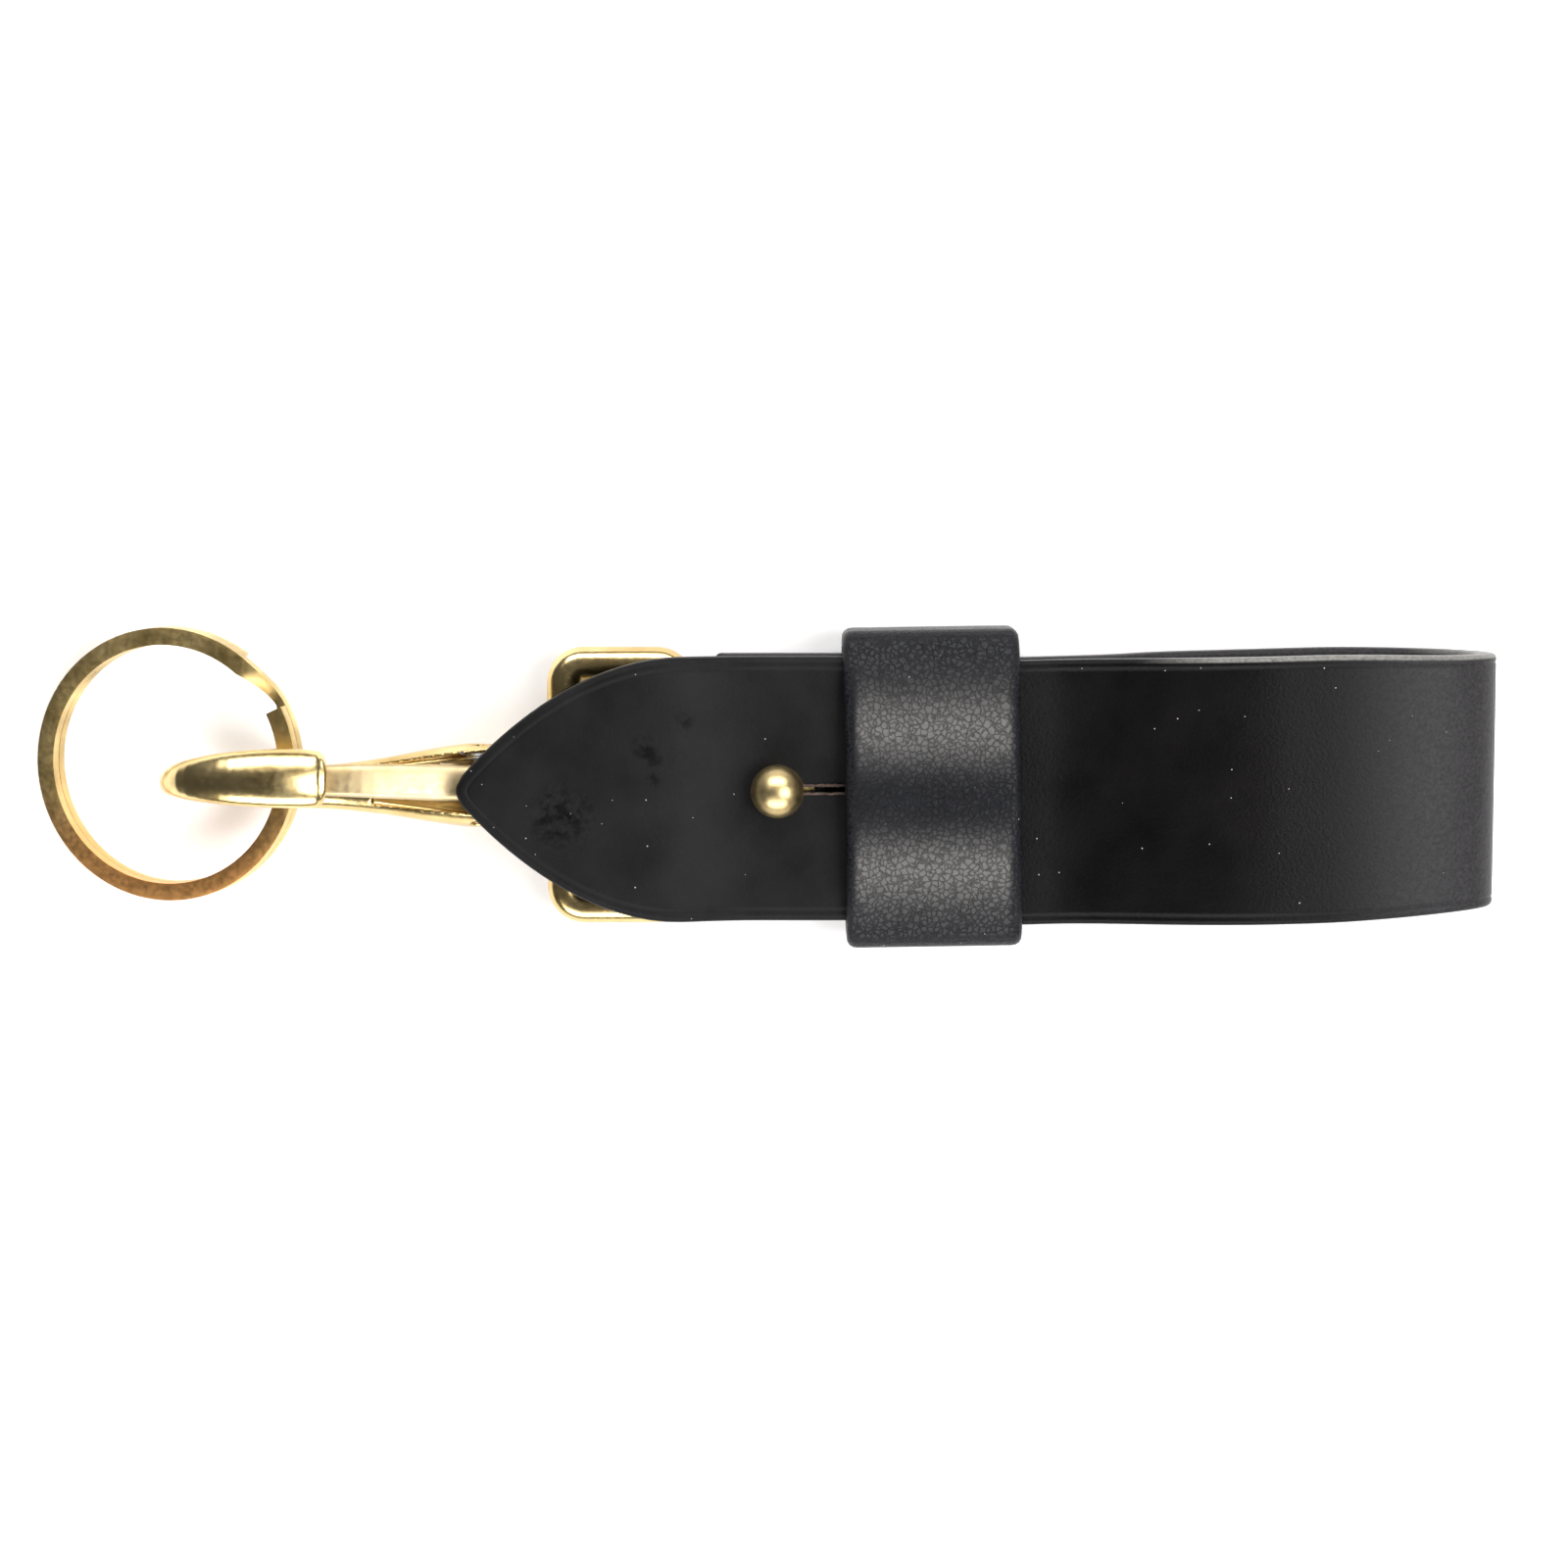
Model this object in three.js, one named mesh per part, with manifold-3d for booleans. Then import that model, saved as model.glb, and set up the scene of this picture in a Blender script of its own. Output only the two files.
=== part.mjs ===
// A wristlet keychain: a bridle leather strap folded into a wrist loop and buttoned on a ball stud,
// a leather keeper round it, and a brass swivel snap hook that carries a split ring.
//
// Millimetres. X runs along the strap with the hook at -X, Y across it, Z up from the table.
// While it is built, X = 0 is the axis of the stud. At the end the whole keychain is moved, so that
// the centre of the base of its box is the origin.
import * as THREE from "three";
import { mergeVertices } from "three/addons/utils/BufferGeometryUtils.js";
import Module from "manifold-3d";

const wasm = await Module();
wasm.setup();

// ---------------------------------------------------------------- driving sizes

const gap = 0.3; // between two pieces that touch, or that turn in each other
const overshoot = 1; // how far a cutting tool runs past the face that it cuts

// strap
const strapWidth = 32;
const strapThickness = 2.8;
const neckWidth = 24.6; // the end that goes through the frame
const neckThickness = 1.8; // that end is skived
const tabLength = 38.75; // stud to the pointed tip
const tabPoint = { length: 27, shoulder: 0.56, waistAt: 5, waist: 0.42 }; // shoulder and waist are shares
const tabNose = { halfWidth: 1.8, length: 0.7, bulge: 0.35 };
const tabClearance = 0.65; // between the folded neck and the tab over it
const slitLength = 9;
const slitWidth = 0.7;
const keyholeRadius = 2.7;
const foldToStud = 12.2; // frame bar's centre to the stud
const shoulderToStud = 7; // where the strap narrows to its neck
const neckRoot = 5; // how far the neck reaches into the end of the full strap
const neckLead = 1; // level stretch of the neck inside the shoulder
const neckTaper = { share: 0.06, full: 0.9 }; // where it thins, and its share of the full thickness there
const returnEnd = 14; // the folded end stops this far past the stud
const tabCut = 12.3; // the tab and the rest of the strap part here, under the keeper
const loopLength = 57.4; // keeper to the far end of the loop
const loopRise = 15.8; // height of the loop's upper ply, at its middle
const loopPeak = 31.5; // from the keeper to the highest point
const loopEndHeight = 8.6;
const restLength = 22; // flat stretch of the loop that lies on the table
const restToLoopEnd = 15.4;
const loopLead = { upper: 3.5, lower: 8.5 }; // level stretch of each ply past the keeper
const loopHandles = { rise: 8, peak: 12, endUp: 5.6, endDown: 5, rest: 8 }; // of the loop's curves
const swayHandle = 0.45; // share of a sway's length

// keeper
const keeperToStud = 8.1;
const keeperWidth = 21.2;
const keeperWall = 2.7;
const keeperSideRoom = 0.55;
const keeperCorner = 3.6;
const keeperSkew = 0.9; // degrees that it sits out of square
const keeperSeam = 0.5;
const stitchCount = 3;
const stitchPitch = 6;
const stitchSize = { along: 0.9, across: 5, deep: 0.5 };

// ball stud and its screw
const ballRadius = 3.2;
const ballLift = 2.2; // ball's centre above the face of the tab
const neckRadius = 1.7;
const flangeRadius = 4.7;
const flangeThickness = 0.8;
const flangeEdge = { out: 0.3, down: 0.2 };
const neckFlare = { out: 0.3, up: 0.6 };
const postRadius = 2.0;
const screwRadius = 1.2;
const screwHeadRadius = 3.8;
const screwHeadThickness = 1.3;
const screwCrown = { share: 0.7, drop: 0.1, edge: 0.7 };
const screwSlot = { width: 0.9, depth: 0.6 };

// frame, which is the eye of the snap hook
const frameLength = 17.95; // along X
const frameBar = 4.2;
const frameThickness = 4;
const frameCorner = 4;
const frameInnerCorner = 1;
const frameRounding = 1.1;
const frameAxisHeight = 5.6;
const frameSideRoom = 0.4; // between the neck of the strap and each side bar
const bossRadius = 3.4;
const bossReach = 1.65; // how far the boss stands out of the frame

// swivel post
const swivelRadius = 1.7;
const swivelHeadRadius = 3.2;
const swivelHeadThickness = 1.5;
const swivelEngagement = 3.2; // length of post inside the hook

// snap hook, seen from the side: distance from its shoulder, height over the swivel axis
const hookRoll = -10; // degrees that it lies turned about the swivel axis
const hookStations = [
  { x: 0, z: 0, width: 7.4, thickness: 7.4 },
  { x: -3, z: 0, width: 9.4, thickness: 8.6 },
  { x: -7, z: -0.2, width: 10.2, thickness: 8.8 },
  { x: -12, z: -0.9, width: 9, thickness: 7 },
  { x: -18, z: -2.2, width: 7, thickness: 5.2 },
  { x: -24, z: -3.2, width: 5.6, thickness: 4.4 },
  { x: -29, z: -3.4, width: 5.2, thickness: 4.1 },
  { x: -35.4, z: -2.8, width: 4.8, thickness: 3.9 },
  { x: -41, z: 0.4, width: 4.1, thickness: 3.5 },
  { x: -43, z: 4.6, width: 3.4, thickness: 3.2 },
  { x: -40.9, z: 8.2, width: 4.7, thickness: 3.1 },
  { x: -36.3, z: 10, width: 6.2, thickness: 3.2 },
  { x: -31, z: 10.6, width: 7, thickness: 3.4 },
  { x: -27, z: 10.2, width: 7.1, thickness: 3.4 },
  { x: -24.9, z: 9.6, width: 6.6, thickness: 3 },
  { x: -24, z: 9.3, width: 4.2, thickness: 1.6 },
];
const troughEnd = 19.5; // the channel for the gate, from the hook's shoulder
const troughStart = 3.3;
const troughFull = 8; // it is at its full width down to here
const troughHalfWidth = 4.2;
const troughTipHalfWidth = 2.3;
const troughFloor = -1.1;
const troughHeight = 9;
const hookSquareness = 2.7; // 2 is an ellipse, and more is squarer

// gate, its pin and spring, placed like the hook's stations
const pinPlace = { x: -6.2, z: 1.2 };
const pinRadius = 0.75;
const pinSink = 0.35; // how far each end of the pin lies under the hook's cheek
const gateSquareness = 5;
const gateStations = [
  { x: -4.6, z: 1.1, width: 4.4, thickness: 3.3 },
  { x: -8, z: 2.2, width: 4.5, thickness: 3 },
  { x: -14, z: 4.8, width: 4.3, thickness: 2.2 },
  { x: -20, z: 6.5, width: 4, thickness: 2 },
  { x: -25.3, z: 6.9, width: 3.6, thickness: 1.7 },
];
const springWire = 0.22;
const springRadius = 1.6;
const springTurns = 1.75;
const springPitch = 0.5;
const springLegs = { floor: 5, gate: 2.4, lean: 0.4 };

// split ring
const ringRadius = 16.65;
const ringWire = { wide: 2.1, thick: 1.55 };
const ringCoilGap = 0.17;
const ringTilt = 13; // degrees, its hook side up
const ringReach = 28.83; // hook's shoulder to the wire that lies in the hook
const ringShift = 2.6; // its middle lies this far to one side
const ringEndAngle = 26; // where the upper coil's end shows
const ringJog = { start: 336, end: 358 }; // degrees of wire from that end
const ringTurn = 692;
const ringStep = 7.5;

// ---------------------------------------------------------------- heights of the plies

const deckUnder = keeperWall + gap;
const deckMid = deckUnder + strapThickness / 2;
const returnMid = deckUnder + strapThickness + gap + neckThickness / 2;
const flangeTop = returnMid + neckThickness / 2 + gap;
const tabUnder = flangeTop + gap;
const tabMid = tabUnder + strapThickness / 2;
const tabTop = tabUnder + strapThickness;
const keeperInnerTop = tabTop + gap;
const barX = -foldToStud;
const barCorner = Math.hypot(frameBar / 2 - frameRounding, frameThickness / 2 - frameRounding);
const barReach = barCorner + frameRounding; // bar's centre to its farthest surface
const foldRadius = barReach + gap + neckThickness / 2;
const overFrameMid = frameAxisHeight + foldRadius + neckThickness / 2 + tabClearance + strapThickness / 2;
const flatStart = -flangeRadius - gap; // the upper plies lie level from here on
const keeperMid = keeperToStud + keeperWidth / 2;
const keeperEnd = keeperToStud + keeperWidth;
const loopEnd = keeperEnd + loopLength;
const frameLeft = barX + frameBar / 2 - frameLength;
const frameWidth = neckWidth + 2 * (frameSideRoom + frameBar);
const hookShoulder = frameLeft - bossReach - gap;
const pinX = hookShoulder + pinPlace.x;
const hookWidth = Math.max(...hookStations.map((station) => station.width));
const gateWidth = Math.max(...gateStations.map((station) => station.width));
const pinLength = hookWidth - 2 * pinSink;

// ---------------------------------------------------------------- building blocks

const PLAN = new THREE.Matrix4();
const SIDE = new THREE.Matrix4().makeBasis(
  new THREE.Vector3(1, 0, 0),
  new THREE.Vector3(0, 0, 1),
  new THREE.Vector3(0, -1, 0),
);
const END = new THREE.Matrix4().makeBasis(
  new THREE.Vector3(0, 1, 0),
  new THREE.Vector3(0, 0, 1),
  new THREE.Vector3(1, 0, 0),
);

// A three.js geometry as a manifold-3d solid, with its faces turned outwards.
function solid(geometry) {
  const bare = geometry.index ? geometry.toNonIndexed() : geometry.clone();
  for (const name of Object.keys(bare.attributes)) {
    if (name !== "position") bare.deleteAttribute(name);
  }
  const merged = mergeVertices(bare, 1e-4);
  const triangles = [];
  for (let i = 0; i < merged.index.count; i += 3) {
    const [a, b, c] = [0, 1, 2].map((k) => merged.index.getX(i + k));
    if (a !== b && b !== c && c !== a) triangles.push(a, b, c);
  }
  const make = (order) =>
    new wasm.Manifold(
      new wasm.Mesh({
        numProp: 3,
        vertProperties: merged.attributes.position.array,
        triVerts: new Uint32Array(order),
      }),
    );
  const made = make(triangles);
  return made.volume() > 0 ? made : make(triangles.reverse());
}

// A flat shape thickened evenly to both sides of its plane, laid in the plane that the basis gives.
function slab(shape, depth, basis, options = {}) {
  const bevel = options.rounding ?? 0;
  const geometry = new THREE.ExtrudeGeometry(shape, {
    depth: depth - 2 * bevel,
    bevelEnabled: bevel > 0,
    bevelThickness: bevel,
    bevelSize: bevel,
    bevelOffset: -bevel,
    bevelSegments: 3,
    curveSegments: options.segments ?? 8,
    steps: 1,
  });
  geometry.translate(0, 0, -depth / 2 + bevel);
  return solid(geometry.applyMatrix4(basis));
}

function block(sizeX, sizeY, sizeZ, x, y, z) {
  return solid(new THREE.BoxGeometry(sizeX, sizeY, sizeZ).translate(x, y, z));
}

function cylinder(radius, length, axis, x, y, z, sides = 24) {
  const geometry = new THREE.CylinderGeometry(radius, radius, length, sides);
  if (axis === "x") geometry.rotateZ(Math.PI / 2);
  if (axis === "z") geometry.rotateX(Math.PI / 2);
  return solid(geometry.translate(x, y, z));
}

function turned(profile, sides = 24) {
  const points = profile.map(([r, z]) => new THREE.Vector2(r, z));
  return solid(new THREE.LatheGeometry(points, sides).rotateX(Math.PI / 2));
}

// A closed skin over a row of sections, each an array of as many points as the last.
function loft(sections) {
  const around = sections[0].length;
  const index = [];
  for (let i = 0; i + 1 < sections.length; i++) {
    for (let j = 0; j < around; j++) {
      const a = i * around + j;
      const b = i * around + ((j + 1) % around);
      index.push(a, b, b + around, a, b + around, a + around);
    }
  }
  const last = (sections.length - 1) * around;
  for (let j = 1; j + 1 < around; j++) {
    index.push(0, j + 1, j);
    index.push(last, last + j, last + j + 1);
  }
  const geometry = new THREE.BufferGeometry().setFromPoints(sections.flat());
  geometry.setIndex(index);
  return solid(geometry);
}

// A bar in the XZ plane through stations of given width and thickness, with softly squared sections.
function castBar(stations, squareness, originX, stepsEach = 3, around = 20) {
  const line = new THREE.CatmullRomCurve3(stations.map((s) => new THREE.Vector3(originX + s.x, 0, s.z)));
  line.curveType = "catmullrom";
  const size = new THREE.CatmullRomCurve3(stations.map((s) => new THREE.Vector3(s.width, s.thickness, 0)));
  size.curveType = "catmullrom";
  const steps = (stations.length - 1) * stepsEach;
  const sections = [];
  for (let i = 0; i <= steps; i++) {
    const centre = line.getPoint(i / steps);
    const along = line.getTangent(i / steps);
    const half = size.getPoint(i / steps).multiplyScalar(0.5);
    const section = [];
    for (let j = 0; j < around; j++) {
      const angle = (j / around) * 2 * Math.PI;
      const across = half.x * soften(Math.cos(angle), squareness);
      const up = half.y * soften(Math.sin(angle), squareness);
      section.push(new THREE.Vector3(centre.x - along.z * up, across, centre.z + along.x * up));
    }
    sections.push(section);
  }
  return loft(sections);
}

function soften(value, squareness) {
  return Math.sign(value) * Math.abs(value) ** (2 / squareness);
}

function roundedRectangle(x0, y0, x1, y1, radius, target = new THREE.Shape()) {
  target.moveTo(x0 + radius, y0);
  target.lineTo(x1 - radius, y0);
  target.absarc(x1 - radius, y0 + radius, radius, -Math.PI / 2, 0);
  target.lineTo(x1, y1 - radius);
  target.absarc(x1 - radius, y1 - radius, radius, 0, Math.PI / 2);
  target.lineTo(x0 + radius, y1);
  target.absarc(x0 + radius, y1 - radius, radius, Math.PI / 2, Math.PI);
  target.lineTo(x0, y0 + radius);
  target.absarc(x0 + radius, y0 + radius, radius, Math.PI, 1.5 * Math.PI);
  return target;
}

// ---------------------------------------------------------------- leather

// An S from one level stretch to another, level at both ends.
function sway(x0, z0, x1, z1) {
  const handle = (x1 - x0) * swayHandle;
  return new THREE.CubicBezierCurve(
    new THREE.Vector2(x0, z0),
    new THREE.Vector2(x0 + handle, z0),
    new THREE.Vector2(x1 - handle, z1),
    new THREE.Vector2(x1, z1),
  );
}

// The section along a ply: its middle line's curves, thickened by half the leather to each side.
// thicknessAt takes the share of the way along the middle line.
function ribbon(curves, thicknessAt, width) {
  const middle = [];
  curves.forEach(({ curve, steps }) => {
    const points = curve.getPoints(steps);
    middle.push(...(middle.length ? points.slice(1) : points));
  });
  const left = [];
  const right = [];
  middle.forEach((point, i) => {
    const before = middle[Math.max(i - 1, 0)];
    const after = middle[Math.min(i + 1, middle.length - 1)];
    const along = after.clone().sub(before).normalize();
    const half = thicknessAt(i / (middle.length - 1)) / 2;
    left.push(new THREE.Vector2(point.x - along.y * half, point.y + along.x * half));
    right.push(new THREE.Vector2(point.x + along.y * half, point.y - along.x * half));
  });
  return slab(new THREE.Shape([...left, ...right.reverse()]), width, SIDE);
}

function line(x0, z0, x1, z1) {
  return { curve: new THREE.LineCurve(new THREE.Vector2(x0, z0), new THREE.Vector2(x1, z1)), steps: 1 };
}

const evenThickness = () => strapThickness;

// The tab's outline from above: two long curves that meet in a small round nose.
function tabOutline() {
  const half = strapWidth / 2;
  const tip = -tabLength;
  const { halfWidth, length, bulge } = tabNose;
  const shoulderX = tip + tabPoint.length * tabPoint.shoulder;
  const waistX = tip + tabPoint.waistAt;
  const waistY = half * tabPoint.waist;
  const shape = new THREE.Shape();
  shape.moveTo(tabCut + overshoot, -half);
  shape.lineTo(tip + tabPoint.length, -half);
  shape.bezierCurveTo(shoulderX, -half, waistX, -waistY, tip + length, -halfWidth);
  shape.quadraticCurveTo(tip - bulge, 0, tip + length, halfWidth);
  shape.bezierCurveTo(waistX, waistY, shoulderX, half, tip + tabPoint.length, half);
  shape.lineTo(tabCut + overshoot, half);
  return shape;
}

function makeTab() {
  const ply = ribbon(
    [
      line(-tabLength - overshoot, overFrameMid, barX, overFrameMid),
      { curve: sway(barX, overFrameMid, flatStart, tabMid), steps: 8 },
      line(flatStart, tabMid, tabCut - gap, tabMid),
    ],
    evenThickness,
    strapWidth,
  );
  const tall = 2 * (overFrameMid - tabMid + strapThickness);
  const outline = slab(tabOutline(), tall, PLAN, { segments: 14 }).translate(0, 0, tabMid);
  const keyhole = cylinder(keyholeRadius, tall, "z", 0, 0, tabMid);
  const slit = block(slitLength, slitWidth, tall, slitLength / 2, 0, tabMid);
  return ply.intersect(outline).subtract(keyhole).subtract(slit);
}

// The wrist loop: from the tab's cut through the keeper, round the loop and back to the shoulder.
function loopPly() {
  const peakX = keeperEnd + loopPeak;
  const endX = loopEnd - strapThickness / 2;
  const floorMid = strapThickness / 2;
  const restEnd = loopEnd - restToLoopEnd;
  const restStart = restEnd - restLength;
  const upperStart = keeperEnd + loopLead.upper;
  const lowerEnd = keeperEnd + loopLead.lower;
  const up = new THREE.CubicBezierCurve(
    new THREE.Vector2(upperStart, tabMid),
    new THREE.Vector2(upperStart + loopHandles.rise, tabMid),
    new THREE.Vector2(peakX - loopHandles.peak, loopRise),
    new THREE.Vector2(peakX, loopRise),
  );
  const over = new THREE.CubicBezierCurve(
    new THREE.Vector2(peakX, loopRise),
    new THREE.Vector2(peakX + loopHandles.peak, loopRise),
    new THREE.Vector2(endX, loopEndHeight + loopHandles.endUp),
    new THREE.Vector2(endX, loopEndHeight),
  );
  const under = new THREE.CubicBezierCurve(
    new THREE.Vector2(endX, loopEndHeight),
    new THREE.Vector2(endX, loopEndHeight - loopHandles.endDown),
    new THREE.Vector2(restEnd + loopHandles.rest, floorMid),
    new THREE.Vector2(restEnd, floorMid),
  );
  return ribbon(
    [
      line(tabCut, tabMid, upperStart, tabMid),
      { curve: up, steps: 10 },
      { curve: over, steps: 14 },
      { curve: under, steps: 12 },
      line(restEnd, floorMid, restStart, floorMid),
      { curve: sway(restStart, floorMid, lowerEnd, deckMid), steps: 6 },
      line(lowerEnd, deckMid, -shoulderToStud, deckMid),
    ],
    evenThickness,
    strapWidth,
  );
}

// The skived neck: off the shoulder, down round the frame's bar and back on top as the return ply.
function neckPly() {
  const root = -shoulderToStud + neckRoot;
  const swayStart = -shoulderToStud + neckLead;
  const fold = new THREE.EllipseCurve(
    barX,
    frameAxisHeight,
    foldRadius,
    foldRadius,
    -Math.PI / 2,
    Math.PI / 2,
    true,
  );
  const extra = (strapThickness - neckThickness) * neckTaper.full;
  return ribbon(
    [
      line(root, deckMid, swayStart, deckMid),
      { curve: sway(swayStart, deckMid, barX, frameAxisHeight - foldRadius), steps: 8 },
      { curve: fold, steps: 14 },
      { curve: sway(barX, frameAxisHeight + foldRadius, flatStart, returnMid), steps: 8 },
      line(flatStart, returnMid, returnEnd, returnMid),
    ],
    (share) => neckThickness + extra * Math.max(0, 1 - share / neckTaper.share),
    neckWidth,
  );
}

// The strap is the loop and its neck, with a hole for the stud's post and a seat for its flange.
function makeStrap() {
  const bottom = deckMid - strapThickness;
  const seatFloor = flangeTop - flangeThickness - gap;
  const holeHeight = seatFloor + overshoot - bottom;
  const hole = cylinder(postRadius + gap, holeHeight, "z", 0, 0, bottom + holeHeight / 2);
  const seatHeight = flangeThickness + gap + overshoot;
  const seat = cylinder(flangeRadius + gap, seatHeight, "z", 0, 0, seatFloor + seatHeight / 2);
  return loopPly().add(neckPly().subtract(seat)).subtract(hole);
}

function makeKeeper() {
  const innerHalf = strapWidth / 2 + keeperSideRoom;
  const outerHalf = innerHalf + keeperWall;
  const shape = roundedRectangle(-outerHalf, 0, outerHalf, keeperInnerTop + keeperWall, keeperCorner);
  const innerCorner = keeperCorner - keeperWall + gap;
  shape.holes.push(
    roundedRectangle(-innerHalf, keeperWall, innerHalf, keeperInnerTop, innerCorner, new THREE.Path()),
  );
  let keeper = slab(shape, keeperWidth, END, { segments: 6 });
  keeper = keeper.subtract(block(keeperWidth + overshoot, keeperSeam, 2 * keeperWall, 0, 0, 0));
  for (const x of stitchPlaces()) {
    const groove = 2 * (stitchSize.deep + 2 * gap);
    keeper = keeper.subtract(
      block(stitchSize.along + 2 * gap, stitchSize.across + 2 * gap, groove, x, 0, 0),
    );
  }
  return keeper;
}

function stitchPlaces() {
  return Array.from({ length: stitchCount }, (_, i) => (i - (stitchCount - 1) / 2) * stitchPitch);
}

// A short thread across the seam, sunk in its groove, with rounded ends.
function makeStitch(x) {
  const half = stitchSize.across / 2;
  const shape = roundedRectangle(-half, gap, half, gap + stitchSize.deep, stitchSize.deep * 0.45);
  return slab(shape, stitchSize.along, END, { segments: 3 }).translate(x, 0, 0);
}

// ---------------------------------------------------------------- brass

function makeStud() {
  const ballZ = tabTop + ballLift;
  const ballSteps = 10;
  const under = Math.asin(-Math.sqrt(ballRadius ** 2 - neckRadius ** 2) / ballRadius);
  const ball = Array.from({ length: ballSteps }, (_, i) => {
    const angle = under + ((Math.PI / 2 - under) * i) / ballSteps;
    return [ballRadius * Math.cos(angle), ballZ + ballRadius * Math.sin(angle)];
  });
  const boreRadius = screwRadius + gap;
  const boreTop = flangeTop - flangeThickness;
  const shankEnd = deckUnder + gap;
  return turned([
    [0, boreTop],
    [boreRadius, boreTop],
    [boreRadius, shankEnd],
    [postRadius, shankEnd],
    [postRadius, boreTop],
    [flangeRadius, boreTop],
    [flangeRadius, flangeTop - flangeEdge.down],
    [flangeRadius - flangeEdge.out, flangeTop],
    [neckRadius + neckFlare.out, flangeTop],
    [neckRadius, flangeTop + neckFlare.up],
    ...ball,
    [0, ballZ + ballRadius],
  ]);
}

function makeStudScrew() {
  const headTop = deckUnder - gap;
  const headBottom = headTop - screwHeadThickness;
  const screw = turned([
    [0, headBottom],
    [screwHeadRadius * screwCrown.share, headBottom + screwCrown.drop],
    [screwHeadRadius, headBottom + screwCrown.edge],
    [screwHeadRadius, headTop],
    [screwRadius, headTop],
    [screwRadius, flangeTop - flangeThickness - gap],
    [0, flangeTop - flangeThickness - gap],
  ]);
  const slot = block(
    2 * screwHeadRadius + overshoot,
    screwSlot.width,
    2 * screwSlot.depth,
    0,
    0,
    headBottom,
  );
  return screw.subtract(slot);
}

// Built with its swivel axis along X at Z = 0.
function makeFrame() {
  const right = barX + frameBar / 2;
  const half = frameWidth / 2;
  const shape = roundedRectangle(frameLeft, -half, right, half, frameCorner);
  shape.holes.push(
    roundedRectangle(
      frameLeft + frameBar,
      -half + frameBar,
      right - frameBar,
      half - frameBar,
      frameInnerCorner,
      new THREE.Path(),
    ),
  );
  const bars = slab(shape, frameThickness, PLAN, { segments: 6, rounding: frameRounding });
  const bossLength = bossReach + frameBar;
  const bossMid = frameLeft - bossReach + bossLength / 2;
  const boss = cylinder(bossRadius, bossLength, "x", bossMid, 0, 0);
  const bore = cylinder(swivelRadius + gap, bossLength + 2 * overshoot, "x", bossMid, 0, 0);
  return bars.add(boss).subtract(bore);
}

function makeSwivelPost() {
  const headLeft = frameLeft + frameBar + gap;
  const stemLeft = hookShoulder - swivelEngagement;
  const stemLength = headLeft - stemLeft + swivelHeadThickness / 2;
  const stem = cylinder(swivelRadius, stemLength, "x", stemLeft + stemLength / 2, 0, 0);
  const headMid = headLeft + swivelHeadThickness / 2;
  return stem.add(cylinder(swivelHeadRadius, swivelHeadThickness, "x", headMid, 0, 0));
}

function makeHook() {
  const shape = new THREE.Shape([
    new THREE.Vector2(hookShoulder - troughStart, -troughHalfWidth),
    new THREE.Vector2(hookShoulder - troughStart, troughHalfWidth),
    new THREE.Vector2(hookShoulder - troughFull, troughHalfWidth),
    new THREE.Vector2(hookShoulder - troughEnd, troughTipHalfWidth),
    new THREE.Vector2(hookShoulder - troughEnd, -troughTipHalfWidth),
    new THREE.Vector2(hookShoulder - troughFull, -troughHalfWidth),
  ]);
  const trough = slab(shape, troughHeight, PLAN).translate(0, 0, troughFloor + troughHeight / 2);
  const bore = cylinder(swivelRadius + gap, 2 * swivelEngagement + gap, "x", hookShoulder, 0, 0);
  const pinHole = onGateAxis(pinRadius + gap, hookWidth + 2 * overshoot);
  const body = castBar(hookStations, hookSquareness, hookShoulder);
  return body.subtract(trough).subtract(bore).subtract(pinHole);
}

function onGateAxis(radius, length) {
  return cylinder(radius, length, "y", pinX, 0, pinPlace.z, 12);
}

function makeGate() {
  const eye = onGateAxis(pinRadius + gap, gateWidth + 2 * overshoot);
  return castBar(gateStations, gateSquareness, hookShoulder).subtract(eye);
}

function makeGatePin() {
  return onGateAxis(pinRadius, pinLength);
}

// A torsion spring on the pin beside the gate: one leg on the trough's floor, one along the gate.
function makeGateSpring() {
  const firstY = gateStations[1].width / 2 + gap + springWire;
  const points = [new THREE.Vector3(pinX - springLegs.floor, firstY, pinPlace.z - springRadius)];
  const stepsPerTurn = 16;
  const steps = Math.round(springTurns * stepsPerTurn);
  for (let i = 0; i <= steps; i++) {
    const turn = (i / steps) * springTurns;
    const angle = -Math.PI / 2 + turn * 2 * Math.PI;
    points.push(
      new THREE.Vector3(
        pinX + springRadius * Math.cos(angle),
        firstY + turn * springPitch,
        pinPlace.z + springRadius * Math.sin(angle),
      ),
    );
  }
  const last = points[points.length - 1];
  points.push(new THREE.Vector3(last.x - springLegs.lean, last.y, last.z + springLegs.gate));
  const section = new THREE.Shape().absarc(0, 0, springWire, 0, 2 * Math.PI);
  const geometry = new THREE.ExtrudeGeometry(section, {
    extrudePath: new THREE.CatmullRomCurve3(points, false, "centripetal"),
    steps: 54,
    curveSegments: 4,
  });
  return solid(geometry);
}

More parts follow.
